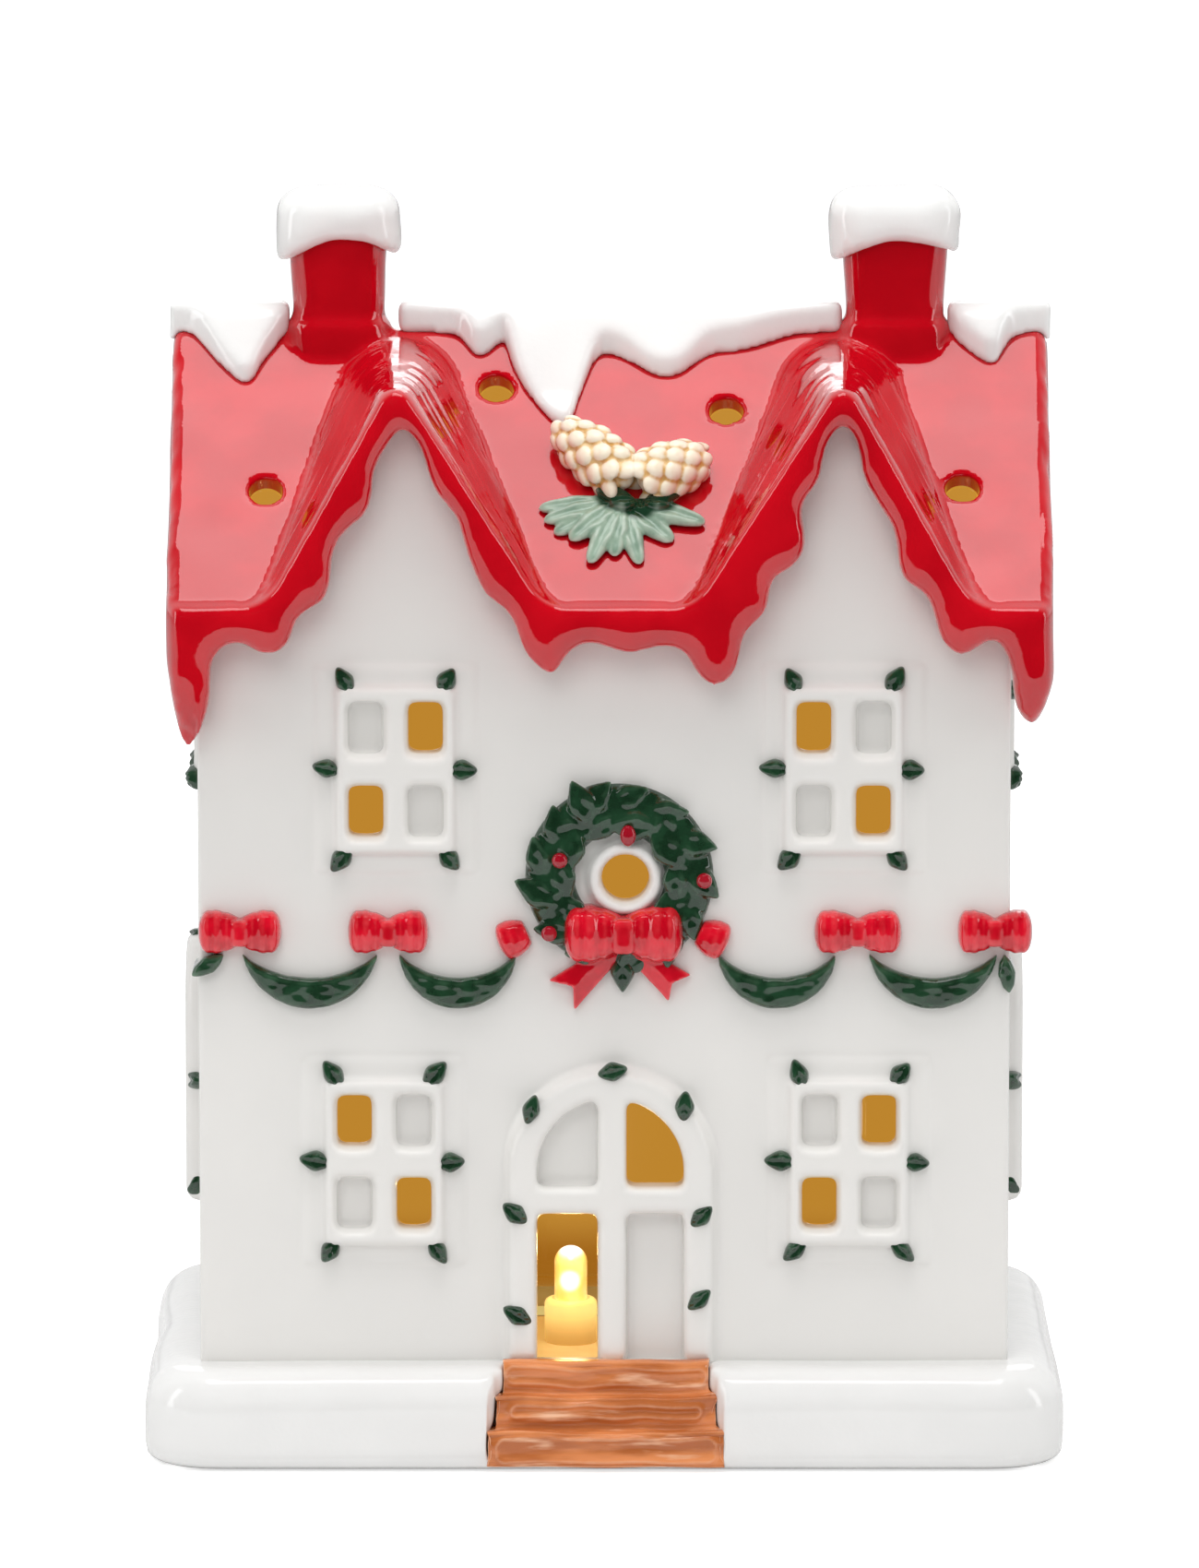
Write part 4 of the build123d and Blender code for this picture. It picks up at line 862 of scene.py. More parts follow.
@dataclass
class CastShell:
    """The slip-cast body of the house: walls, roof, snow base, chimneys and snow."""

    foundry: Foundry
    front_skin: Skin = (0.45 * MM, 5, 192_000)
    rest_skin: Skin = (0.62 * MM, 5, 192_000)
    roof_skin: Skin = (0.5 * MM, 12, 195_000)
    base_skin: Skin = (0.75 * MM, 12, 150_000)
    ridge_skin: Skin = (0.36 * MM, 24, 90_000)
    cap_skin: Skin = (0.36 * MM, 84, 60_000)
    frame_front: float = -35.25 * MM
    bar_front: float = -35.15 * MM
    bar_face: float = -35.85 * MM
    bar_width: float = 1.5 * MM
    bar_height: float = 0.75 * MM
    seam_y: float = -33.2 * MM
    overlap: float = 0.2 * MM
    sill: float = 15.6 * MM
    sunk: float = 1.4 * MM
    roll_width: float = 4.4 * MM
    roll_height: float = 1.9 * MM
    fascia_back: float = -37.5 * MM
    fascia_face: float = -39.6 * MM
    flank_front: float = -39 * MM
    flank_foot: float = 133 * MM
    chimney_foot: float = 172 * MM
    chimney_rise: float = 12 * MM
    chimney_flare: float = 0.09
    brim: float = 1.5 * MM
    under_house: tuple[float, float] = (58 * MM, 31 * MM)
    settled: float = 0.9 * MM

    def half_walls(self, name: str, skin: Skin, keep_front: bool) -> Piece:
        """Return the front skin of the walls with its frames, or all behind it.

        Args:
            name: The piece's name.
            skin: Its grain, its rounds of smoothing and its most triangles.
            keep_front: Whether the front skin or the rest stays.

        Returns:
            The piece.
        """
        piece = self.foundry.cast(name, "house_walls", *WINDOW_NODES)
        Bench.sculpt(piece, self.sink_foot)
        Bench.skin(piece, *skin[:2])
        seam = self.seam_y + (self.overlap if keep_front else -self.overlap)
        with Bench.editing(piece):
            bpy.ops.mesh.bisect(
                plane_co=(0.0, seam, 0.0), plane_no=(0.0, 1.0, 0.0),
                clear_outer=keep_front, clear_inner=not keep_front,
            )
        if keep_front:
            Bench.soften(piece, lambda place, normal: place.y < self.frame_front, 8)
            Bench.pillow(piece, self.on_bar, self.bar_width, self.bar_height)
            Bench.soften(piece, lambda place, normal: place.y < self.bar_front, 3)
        Bench.thin(piece, skin[2])
        return piece

    def sink_foot(self, place: Vector, normal: Vector) -> Vector:
        """Return a wall point, with the foot of the wall let into the snow."""
        if place.z < self.sill:
            place.z = self.sill - self.sunk
        return place

    def on_bar(self, place: Vector, normal: Vector) -> bool:
        """Tell if a point lies on the face of a raised bar."""
        return place.y < self.bar_face and normal.y < -0.75

    def walls(self) -> None:
        """Build the walls with their window and door frames run together."""
        glaze = WALL.material()
        front = self.half_walls("front_wall", self.front_skin, True)
        rest = self.half_walls("side_and_back_walls", self.rest_skin, False)
        self.foundry.finish(front, glaze, Slot.WALL, ("house_walls", *WINDOW_NODES))
        self.foundry.finish(rest, glaze, Slot.WALL)

    def roof(self, glaze: Material) -> None:
        """Build the roof with its chimneys, thick with glaze at every edge.

        Args:
            glaze: Its material.
        """
        nodes = ("roof_shell", "chimney_left", "chimney_right")
        piece = self.foundry.cast("glazed_roof", *nodes)
        Bench.skin(piece, *self.roof_skin[:2])
        Bench.pillow(piece, self.on_fascia, self.roll_width, self.roll_height)
        Bench.soften(piece, lambda place, normal: place.y < self.fascia_back, 10)
        Bench.sculpt(piece, self.run_glaze)
        Bench.thin(piece, self.roof_skin[2])
        self.foundry.finish(piece, glaze, Slot.RED, nodes, 4, 2.0)

    def on_fascia(self, place: Vector, normal: Vector) -> bool:
        """Tell if a point lies on the face of the front fascia."""
        return place.y < self.fascia_face and normal.y < -0.72

    def run_glaze(self, place: Vector, normal: Vector) -> Vector:
        """Return a roof point, drawn in where the glaze ran thin and brushed on the flanks.

        Args:
            place: The point's place.
            normal: Its normal.

        Returns:
            The new place.
        """
        slow = noise.noise(place * 120.0)
        shift = 0.16 * MM * slow - 0.12 * MM
        behind = place.y > self.flank_front and place.z > self.flank_foot
        if behind and abs(normal.x) > 0.28 and normal.z > 0.1:
            side = math.copysign(1.0, normal.x)
            down = Vector((-0.525 * side, 0.30, 0.80))
            across = Vector((0.70 * side, -0.40, 0.60)).cross(down)
            run, row = place.dot(down), place.dot(across)
            shift += 0.13 * MM * noise.noise(Vector((run * 45, row * 520, 3.1)))
            shift += 0.25 * MM * noise.noise(Vector((run * 30, row * 190, 7.7)))
        if place.z > self.chimney_foot:
            flare = self.chimney_flare * min((place.z - self.chimney_foot) / self.chimney_rise, 1.0)
            place = place + Vector((place.x - CHIMNEYS[place.x >= 0], place.y, 0)) * flare
        return place + normal * shift

    def drift(self, place: Vector, normal: Vector) -> Vector:
        """Return a point of the base, sunk where the snow has settled.

        Args:
            place: The point's place.
            normal: Its normal.

        Returns:
            The new place.
        """
        along, across = self.under_house
        if place.z < self.brim or max(abs(place.x) - along, abs(place.y) - across) < 0:
            return place
        low = 0.5 + 0.5 * noise.noise(Vector((place.x * 28, place.y * 40, place.z * 60)))
        return place - normal * (self.settled * low)

    def snow(self, glaze: Material) -> None:
        """Build the snow base, heaped round the walls, and the snow on ridge and chimneys.

        Args:
            glaze: The snow's material.
        """
        for name, node, skin, move, spread in (
            ("snow_drift_base", "snow_base", self.base_skin, self.drift, 4),
            ("ridge_snow_drift", "ridge_snow", self.ridge_skin, self.puff, 2),
            ("chimney_pillow_left", "chimney_snow_left", self.cap_skin, self.slump, 2),
            ("chimney_pillow_right", "chimney_snow_right", self.cap_skin, self.slump, 2),
        ):
            self.foundry.fire(name, node, skin, move, glaze, Slot.SNOW, spread)

    @staticmethod
    def slump(place: Vector, normal: Vector) -> Vector:
        """Return a point of a chimney's snow, puffed out and hanging lower on its left.

        Args:
            place: The point's place.
            normal: Its normal.

        Returns:
            The new place.
        """
        share = (place.x - CHIMNEYS[place.x >= 0]) / (9 * MM)
        hang = max(0.0, 0.45 - share) * max(0.0, (187 * MM - place.z) / (6 * MM))
        wave = 0.5 * noise.noise(place * 150.0)
        sag = 0.95 * min(hang, 1.2) + 0.3 + 0.68 * max(normal.z, 0.0)
        return place + normal * ((0.55 + wave) * MM) + Vector((0, 0, -sag * MM))

    @staticmethod
    def puff(place: Vector, normal: Vector) -> Vector:
        """Return a point of the ridge's snow, filled out softly and unevenly."""
        return place + normal * ((0.45 + 0.35 * noise.noise(place * 90.0)) * MM)

    def build(self) -> None:
        """Build the whole shell."""
        red, white = RED.material(), SNOW.material()
        self.walls()
        self.roof(red)
        self.snow(white)


@dataclass
class Doorstep:
    """The three terracotta treads."""

    foundry: Foundry
    skin: Skin = (0.28 * MM, 12, 150_000)
    worn: float = 0.30 * MM
    middle: float = 0.3 * MM
    half: float = 13.2 * MM
    spread: float = 0.05
    foot_drop: float = 0.7 * MM
    fronts: tuple[Place, ...] = (
        (13.6 * MM, 0.0, 1.25 * MM), (8.7 * MM, -0.2 * MM, 0.85 * MM), (3.7 * MM, 0.6 * MM, 1.4 * MM),
    )

    def rim(self, place: Vector) -> float:
        """Return how near a point of a tread's front is to its plank's rounded outline.

        Args:
            place: The point's place.

        Returns:
            1 on the outline, falling to 0 beside it.
        """
        best = 0.0
        for level, wider, tall in self.fronts:
            wave = 0.45 * MM * noise.noise(Vector((place.x * 160, level * 900, 0)))
            across = max(abs(place.x - self.middle) - self.half - 2 * wider, 0.0)
            off = math.hypot(across, place.z - level - wave) - tall
            best = max(best, math.exp(-((off / (0.48 * MM)) ** 2)))
        return best

    def wear(self, place: Vector, normal: Vector) -> Vector:
        """Return a point of the treads, ribbed round each plank and scraped along X.

        Args:
            place: The point's place.
            normal: Its normal.

        Returns:
            The new place.
        """
        scrape = noise.noise(Vector((place.x * 90, place.y * 700, place.z * 700)))
        ragged = noise.noise(Vector((place.x * 40, place.y * 260, place.z * 330)))
        shift = self.worn * (scrape - 0.4)
        if normal.y < -0.5:
            shift += 0.42 * MM * self.rim(place)
        shift -= 0.52 * MM * max(-normal.y, 0.0)
        if abs(normal.x) > 0.5:
            shift += 1.1 * MM * (ragged - 0.5)
        lift = 0.35 * MM * noise.noise(Vector((place.x * 170, 5.0, place.y * 60)))
        wider = self.spread * (place.x - self.middle)
        return place + normal * shift + Vector((wider, 0, lift if place.z > 3 * MM else -self.foot_drop))

    def build(self) -> None:
        """Build the doorstep with brushed, worn treads."""
        clay = SteppedClay().material()
        self.foundry.fire("terracotta_doorstep", "door_steps", self.skin, self.wear, clay, Slot.STEP, 1, 1.2)


@dataclass
class HollyMaker:
    """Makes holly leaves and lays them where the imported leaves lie."""

    foundry: Foundry
    wall_half: float = 61.3 * MM
    length: float = 5.3 * MM
    width: float = 3.5 * MM

    @staticmethod
    def leaf(
        length: float, width: float, thick: float, tip: float = 0.35, blunt: float = 1.0
    ) -> Piece:
        """Return one leaf on Z = 0 along Y, crowned, with a midrib.

        Args:
            length: From stalk to tip.
            width: Across the widest place.
            thick: Its height at the crown.
            tip: How narrow its ends are, as a share of its width.
            blunt: The power that squares its ends, where 1 leaves them round.

        Returns:
            The leaf.
        """
        Bench.clear()
        bpy.ops.mesh.primitive_circle_add(vertices=12, radius=1.0, fill_type="NGON", location=(0, 0, 0))
        piece = bpy.context.object
        for index, point in enumerate(piece.data.vertices):
            across, along = math.copysign(abs(point.co.x) ** blunt, point.co.x), point.co.y
            pinch = 1.0 - (1.0 - tip) * abs(along) ** 1.6
            wave = 1.0 + 0.10 * (1 if index % 2 else -1)
            point.co = (across * width / 2 * pinch * wave, along * length / 2, 0.0)
        with Bench.editing(piece):
            for share, shrink in ((0.55, 0.94), (0.30, 0.80), (0.15, 0.55)):
                bpy.ops.mesh.extrude_region_move(TRANSFORM_OT_translate={"value": (0, 0, thick * share)})
                bpy.ops.transform.resize(value=(shrink, shrink, 1.0), center_override=(0, 0, 0))
            bpy.ops.mesh.select_all(action="SELECT")
            bpy.ops.mesh.normals_make_consistent(inside=False)
        Bench.modify(piece, "SUBSURF", levels=2, render_levels=2)

        def rib(place: Vector, normal: Vector) -> Vector:
            """Return a leaf point, let down along the midrib and between the veins.

            Args:
                place: The point's place.
                normal: Its normal.

            Returns:
                The new place.
            """
            groove = math.exp(-((place.x / (0.16 * width)) ** 2))
            veins = 0.5 + 0.5 * math.cos((place.y + 0.8 * abs(place.x)) / length * 22.0)
            down = thick * (0.22 * groove + 0.06 * veins) * min(1.0, place.z / thick)
            return Vector((place.x, place.y, place.z - down))

        Bench.sculpt(piece, rib)
        return piece

    def outward(self, centre: np.ndarray) -> Vector:
        """Return the wall's outward direction at a leaf's centre.

        Args:
            centre: The leaf's middle.

        Returns:
            The outward normal of the wall that it lies on.
        """
        over_end = abs(centre[0]) - self.wall_half
        over_front = abs(centre[1]) - WALL_FRONT
        if over_end > over_front:
            return Vector((math.copysign(1, centre[0]), 0, 0))
        return Vector((0, math.copysign(1, centre[1]), 0))

    def lay(
        self, name: str, node: str, glaze: Material, thick: float, seed: int, lift: float = 0.0
    ) -> None:
        """Lay a leaf over each solid of a node.

        Args:
            name: The piece's name.
            node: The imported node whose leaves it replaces.
            glaze: The leaves' material.
            thick: How far the leaves stand out of the wall.
            seed: The seed of their small differences.
            lift: How far off the wall they begin.
        """
        dice = random.Random(seed)
        template = self.leaf(self.length, self.width, thick, tip=0.5)
        leaves = []
        for cloud in self.foundry.islands(self.foundry.cast(name, node)):
            centre = (cloud.min(axis=0) + cloud.max(axis=0)) / 2
            up = self.outward(centre)
            flat = cloud - centre
            flat = flat - np.outer(flat @ np.array(up), np.array(up))
            long_way = Vector(np.linalg.svd(flat, full_matrices=False)[2][0])
            if long_way.z < 0:
                long_way.negate()
            across = long_way.cross(up)
            seat = Vector(centre)
            wall = self.wall_half if abs(up.x) > 0.5 else WALL_FRONT
            seat += up * (wall + lift - seat.dot(up))
            turn = Matrix((across, long_way, up)).transposed().to_4x4()
            wide, tall, deep = dice.uniform(0.88, 1.06), dice.uniform(0.9, 1.06), dice.uniform(0.9, 1.0)
            seat = Matrix.Translation(seat) @ turn @ turned(dice.uniform(-9, 9), "Z")
            leaves.append(Bench.twin(template, seat @ Matrix.Diagonal((wide, tall, deep, 1))))
        bpy.data.objects.remove(template)
        self.foundry.finish(Bench.join(name, leaves), glaze, Slot.GREEN, (node,), 1)

    def build(self, glaze: Material) -> None:
        """Lay the leaves round every window and the door."""
        for side, thick, seed in (("front", 2.6, 3), ("back", 2.6, 5), ("side", 3.0, 7)):
            self.lay(f"{side}_window_holly", f"window_leaves_{side}", glaze, thick * MM, seed)
        self.lay("door_holly", "door_leaves", glaze, 2.5 * MM, 9, 1.5 * MM)


@dataclass
class BowMaker:
    """Ties ribbon bows from puffed loops, a knot and notched tails."""

    front: float = -WALL_FRONT

    def loop(
        self, centre: Vector, side: int, half: float, height: float, depth: float, waist: float = 0.62,
        square: float = 0.66, folded: float = 1.0,
    ) -> Piece:
        """Return one boxy, puffed loop with three folds, drawn in at the knot.

        Args:
            centre: The knot's place.
            side: -1 for a left loop, 1 for a right one.
            half: How far the loop reaches from the knot.
            height: Its height at the outer end.
            depth: How far it stands out of the wall.
            waist: Its height at the knot, as a share of the outer height.
            square: The power that makes it boxy, where 1 leaves it round.
            folded: How deep its folds are, as a share of the usual depth.

        Returns:
            The loop.
        """
        piece = Bench.ball(40, 36)

        def boxy(value: float) -> float:
            """Return a share of a circle, pushed out towards a square."""
            return math.copysign(abs(value) ** square, value)

        def puff(place: Vector, normal: Vector) -> Vector:
            """Return a point of the sphere, moved into the loop's form.

            Args:
                place: The point's place.
                normal: Its normal.

            Returns:
                The new place.
            """
            out = (place.z + 1) / 2
            ring = math.sqrt(max(1.0 - place.z ** 2, 1e-9))
            swell = waist + (1.0 - waist) * math.sin(min(out / 0.6, 1.0) * math.pi / 2)
            close = math.sqrt(max(1.0 - max(0.0, (out - 0.66) / 0.34) ** 3, 0.0))
            folds = 0.11 * math.exp(-(((out - 0.40) / 0.06) ** 2))
            folds = folded * (folds + 0.09 * math.exp(-(((out - 0.68) / 0.05) ** 2)))
            girth = swell * close * min(1.0, out / 0.05) ** 0.5
            x = centre.x + side * half * out
            y = self.front - boxy(place.y / ring) * depth * girth * (1.0 - folds)
            z = centre.z + boxy(place.x / ring) * height / 2 * girth * (1.0 - 0.5 * folds)
            return Vector((x, y, z))

        Bench.sculpt(piece, puff)
        return piece

    def knot(self, centre: Vector, width: float, height: float, depth: float) -> Piece:
        """Return the knot in the middle of a bow.

        Args:
            centre: Its place.
            width: Its width.
            height: Its height.
            depth: How far it stands out of the wall.

        Returns:
            The knot.
        """
        Bench.clear()
        bpy.ops.mesh.primitive_cube_add(size=1.0, location=(centre.x, self.front, centre.z))
        piece = bpy.context.object
        piece.scale = (width, 2 * depth, height)
        Bench.settle(piece)
        Bench.modify(piece, "BEVEL", width=min(width, height) * 0.3, segments=3)
        return piece

    def tail(
        self, centre: Vector, turn: float, length: float, width: float, notch: float, depth: float
    ) -> Piece:
        """Return one broad ribbon tail, creased along its middle and notched at its end.

        Args:
            centre: Where it leaves the knot.
            turn: The way it points, in degrees from straight down.
            length: Its length.
            width: Its width at the end.
            notch: How deep the end is cut.
            depth: How far it stands out of the wall.

        Returns:
            The tail.
        """
        Bench.clear()
        bpy.ops.mesh.primitive_grid_add(x_subdivisions=16, y_subdivisions=24, size=1.0, location=(0, 0, 0))
        piece = bpy.context.object
        for point in piece.data.vertices:
            across, along = point.co.x, point.co.y + 0.5
            cut = notch * along ** 3 * (1.0 - 2.0 * abs(across))
            spread = width * (0.36 + 0.64 * along)
            crease = 0.42 * depth * (0.5 - abs(across)) + 0.12 * depth * math.sin(along * 6.0)
            point.co = (across * spread, -along * length + cut, crease)
        with Bench.editing(piece):
            bpy.ops.mesh.extrude_region_move(TRANSFORM_OT_translate={"value": (0, 0, 0.6 * depth)})
            bpy.ops.mesh.select_all(action="SELECT")
            bpy.ops.mesh.normals_make_consistent(inside=False)
        place = Matrix.Translation((centre.x, self.front + 0.1 * MM, centre.z))
        piece.data.transform(place @ (turned(90, "X") @ turned(turn, "Z")))
        return piece

    def bow(self, x: float, z: float, width: float, height: float, depth: float) -> list[Piece]:
        """Return the loops and the knot of one bow.

        Args:
            x: Its place along the front.
            z: Its height on the wall.
            width: Across both loops.
            height: Of a loop's outer end.
            depth: How far it stands out of the wall.

        Returns:
            The two loops and the knot.
        """
        centre = Vector((x, self.front, z))
        pieces = [self.loop(centre, side, width / 2, height, depth) for side in (-1, 1)]
        pieces.append(self.knot(centre, height * 0.42, height * 0.62, depth * 0.95))
        return pieces

    def lobe(self, x: float, z: float, width: float, height: float, depth: float, side: int) -> Piece:
        """Return the single round loop beside the wreath, tipped towards its swag.

        Args:
            x: The place of its middle along the front.
            z: Its height on the wall.
            width: Its width.
            height: Its height.
            depth: How far it stands out of the wall.
            side: -1 left of the wreath, 1 right of it.

        Returns:
            The loop.
        """
        piece = self.loop(Vector((0, self.front, 0)), side, width, height, depth, 0.60, 0.92, 0.35)
        tip = Matrix.Rotation(side * 0.42, 4, "Y")
        piece.data.transform(Matrix.Translation((x - side * width / 2, 0, z)) @ tip)
        return piece


@dataclass
class Garland:
    """The bows, swags and hanging ends along the front."""

    foundry: Foundry
    bows: BowMaker
    height: float = 6.6 * MM
    bow_z: float = 81.2 * MM
    full_width: float = 12.6 * MM
    depth: float = 3.2 * MM
    bow_skin: Skin = (0.22 * MM, 4, 90_000)
    swag_skin: Skin = (0.26 * MM, 7, 90_000)

    def build(self, green: Material, red: Material) -> None:
        """Build the whole garland.

        Args:
            green: The swags' material.
            red: The bows' material.
        """
        pieces = []
        for x, share in ((-55.0, 1.0), (-32.6, 0.97), (38.3, 1.05), (59.0, 0.90)):
            pieces += self.bows.bow(x * MM, self.bow_z, self.full_width * share, self.height, self.depth)
        for x, side in ((-13.9, -1), (16.6, 1)):
            pieces.append(self.bows.lobe(x * MM, self.bow_z, 5.0 * MM, 5.9 * MM, self.depth, side))
        bows = Bench.join("garland_ribbon_bows", pieces)
        Bench.skin(bows, *self.bow_skin)
        self.foundry.finish(bows, red, Slot.RIBBON, ("garland_bows",), 2, 1.6)
        for name, node in (("garland_fir_swags", "garland_swags"), ("garland_fir_ends", "garland_tails")):
            self.foundry.fire(name, node, self.swag_skin, self.needles, green, Slot.GREEN, 4, 2.4)

    @staticmethod
    def needles(place: Vector, normal: Vector) -> Vector:
        """Return a swag point, drawn into short needles."""
        cell = noise.noise(Vector((place.x * 520, place.y * 520, place.z * 900)))
        return place + normal * (0.09 * MM * cell - 0.03 * MM)


@dataclass
class Wreath:
    """The holly wreath over the door with its bow, berries and hanging leaf."""

    foundry: Foundry
    holly: HollyMaker
    bows: BowMaker
    centre: tuple[float, float] = (2.3 * MM, 89.6 * MM)
    ring: float = 10.5 * MM
    leaf_skin: Skin = (0.26 * MM, 4, 120_000)
    bow_skin: Skin = (0.24 * MM, 6, 90_000)
    berries: tuple[Place, ...] = (
        (-6.7, 92.5, 1.0), (3.6, 96.3, 1.35), (15.1, 89.4, 1.0), (-8.3, 81.3, 1.0),
    )

    def seat(self, angle: float, out: float, lift: float, lean: float) -> Matrix:
        """Return the frame of a leaf on the ring, whose Y axis it lies along.

        Args:
            angle: Round the ring from the right, in radians.
            out: Its distance from the middle.
            lift: Its height over the wall.
            lean: Its turn away from the ring's own direction, in radians.

        Returns:
            The frame.
        """
        place = Matrix.Translation((self.centre[0], self.bows.front, self.centre[1]))
        place @= turned(90, "X") @ Matrix.Rotation(angle, 4, "Z")
        return place @ Matrix.Translation((out, 0, lift)) @ Matrix.Rotation(lean, 4, "Z")

    def leaves(self) -> Piece:
        """Return the ring of overlapping leaves as one glazed mass.

        Returns:
            The leaves with the band that they lie on.
        """
        dice = random.Random(21)
        template = self.holly.leaf(9.0 * MM, 5.4 * MM, 1.9 * MM, tip=0.2)
        placed = [Bench.twin(template, self.seat(math.radians(116), 12.6 * MM, 1.3 * MM, -math.pi / 2))]
        for count, out, lean, lift in ((13, 1.18, 42.0, 0.8), (13, 1.0, -30.0, 0.6), (10, 0.80, 14.0, 1.1)):
            for index in range(count):
                angle = math.tau * (index + dice.uniform(-0.15, 0.15)) / count
                turn = math.radians(lean + dice.uniform(-16, 16))
                seat = self.seat(angle, out * self.ring, lift * MM, turn)
                seat @= turned(dice.uniform(-14, 14), "Y")
                placed.append(Bench.twin(template, seat @ Matrix.Scale(dice.uniform(0.8, 1.06), 4)))
        bpy.data.objects.remove(template)
        Bench.clear()
        bpy.ops.mesh.primitive_torus_add(
            major_segments=64, minor_segments=14, major_radius=self.ring, minor_radius=3.8 * MM,
            location=(self.centre[0], self.bows.front, self.centre[1]), rotation=(math.radians(90), 0, 0),
        )
        band = bpy.context.object
        band.scale = (1.0, 1.0, 0.55)
        Bench.settle(band)
        piece = Bench.join("holly_wreath", [band, *placed])
        Bench.skin(piece, *self.leaf_skin)
        return piece

    def berry(self, x: float, z: float, tall: float) -> Piece:
        """Return one berry, half sunk among the leaves.

        Args:
            x: Its place along the front, in millimetres.
            z: Its height on the wall, in millimetres.
            tall: Its height, as a share of its width.

        Returns:
            The berry.
        """
        piece = Bench.ball(24, 16, 1.2 * MM)
        place = Matrix.Translation((x * MM, self.bows.front - 2.9 * MM, z * MM))
        piece.data.transform(place @ Matrix.Diagonal((1, 0.85, tall, 1)))
        return piece

    def build(self, green: Material, red: Material) -> None:
        """Build the wreath and all that hangs on it.

        Args:
            green: The leaves' material.
            red: The bow's material.
        """
        self.foundry.finish(self.leaves(), green, Slot.GREEN, ("wreath",), 1, 1.3)
        piece = Bench.join("wreath_holly_berries", [self.berry(*spot) for spot in self.berries])
        self.foundry.finish(piece, BERRY.material(), Slot.BERRY, ("wreath_berries",))
        knot = Vector((2.9 * MM, self.bows.front, 81.1 * MM))
        pieces = self.bows.bow(knot.x, knot.z, 18.2 * MM, 8.8 * MM, 5.6 * MM)
        root = knot - Vector((0, 0, 1.6 * MM))
        pieces.append(self.bows.tail(root, -49.5, 12.4 * MM, 6.1 * MM, 2.4 * MM, 2.6 * MM))
        pieces.append(self.bows.tail(root, 51.0, 11.0 * MM, 5.3 * MM, 1.5 * MM, 2.6 * MM))
        piece = Bench.join("wreath_ribbon_bow", pieces)
        Bench.skin(piece, *self.bow_skin)
        self.foundry.finish(piece, red, Slot.RIBBON, ("wreath_bow",), 2, 1.6)
        leaf = self.holly.leaf(7.4 * MM, 4.4 * MM, 3.0 * MM, tip=0.2)
        place = Matrix.Translation((2.8 * MM, self.bows.front, 75.3 * MM))
        leaf.data.transform(place @ turned(90, "X"))
        leaf.name = "wreath_hanging_leaf"
        self.foundry.finish(leaf, green, Slot.GREEN, ("wreath_drop_leaf",))


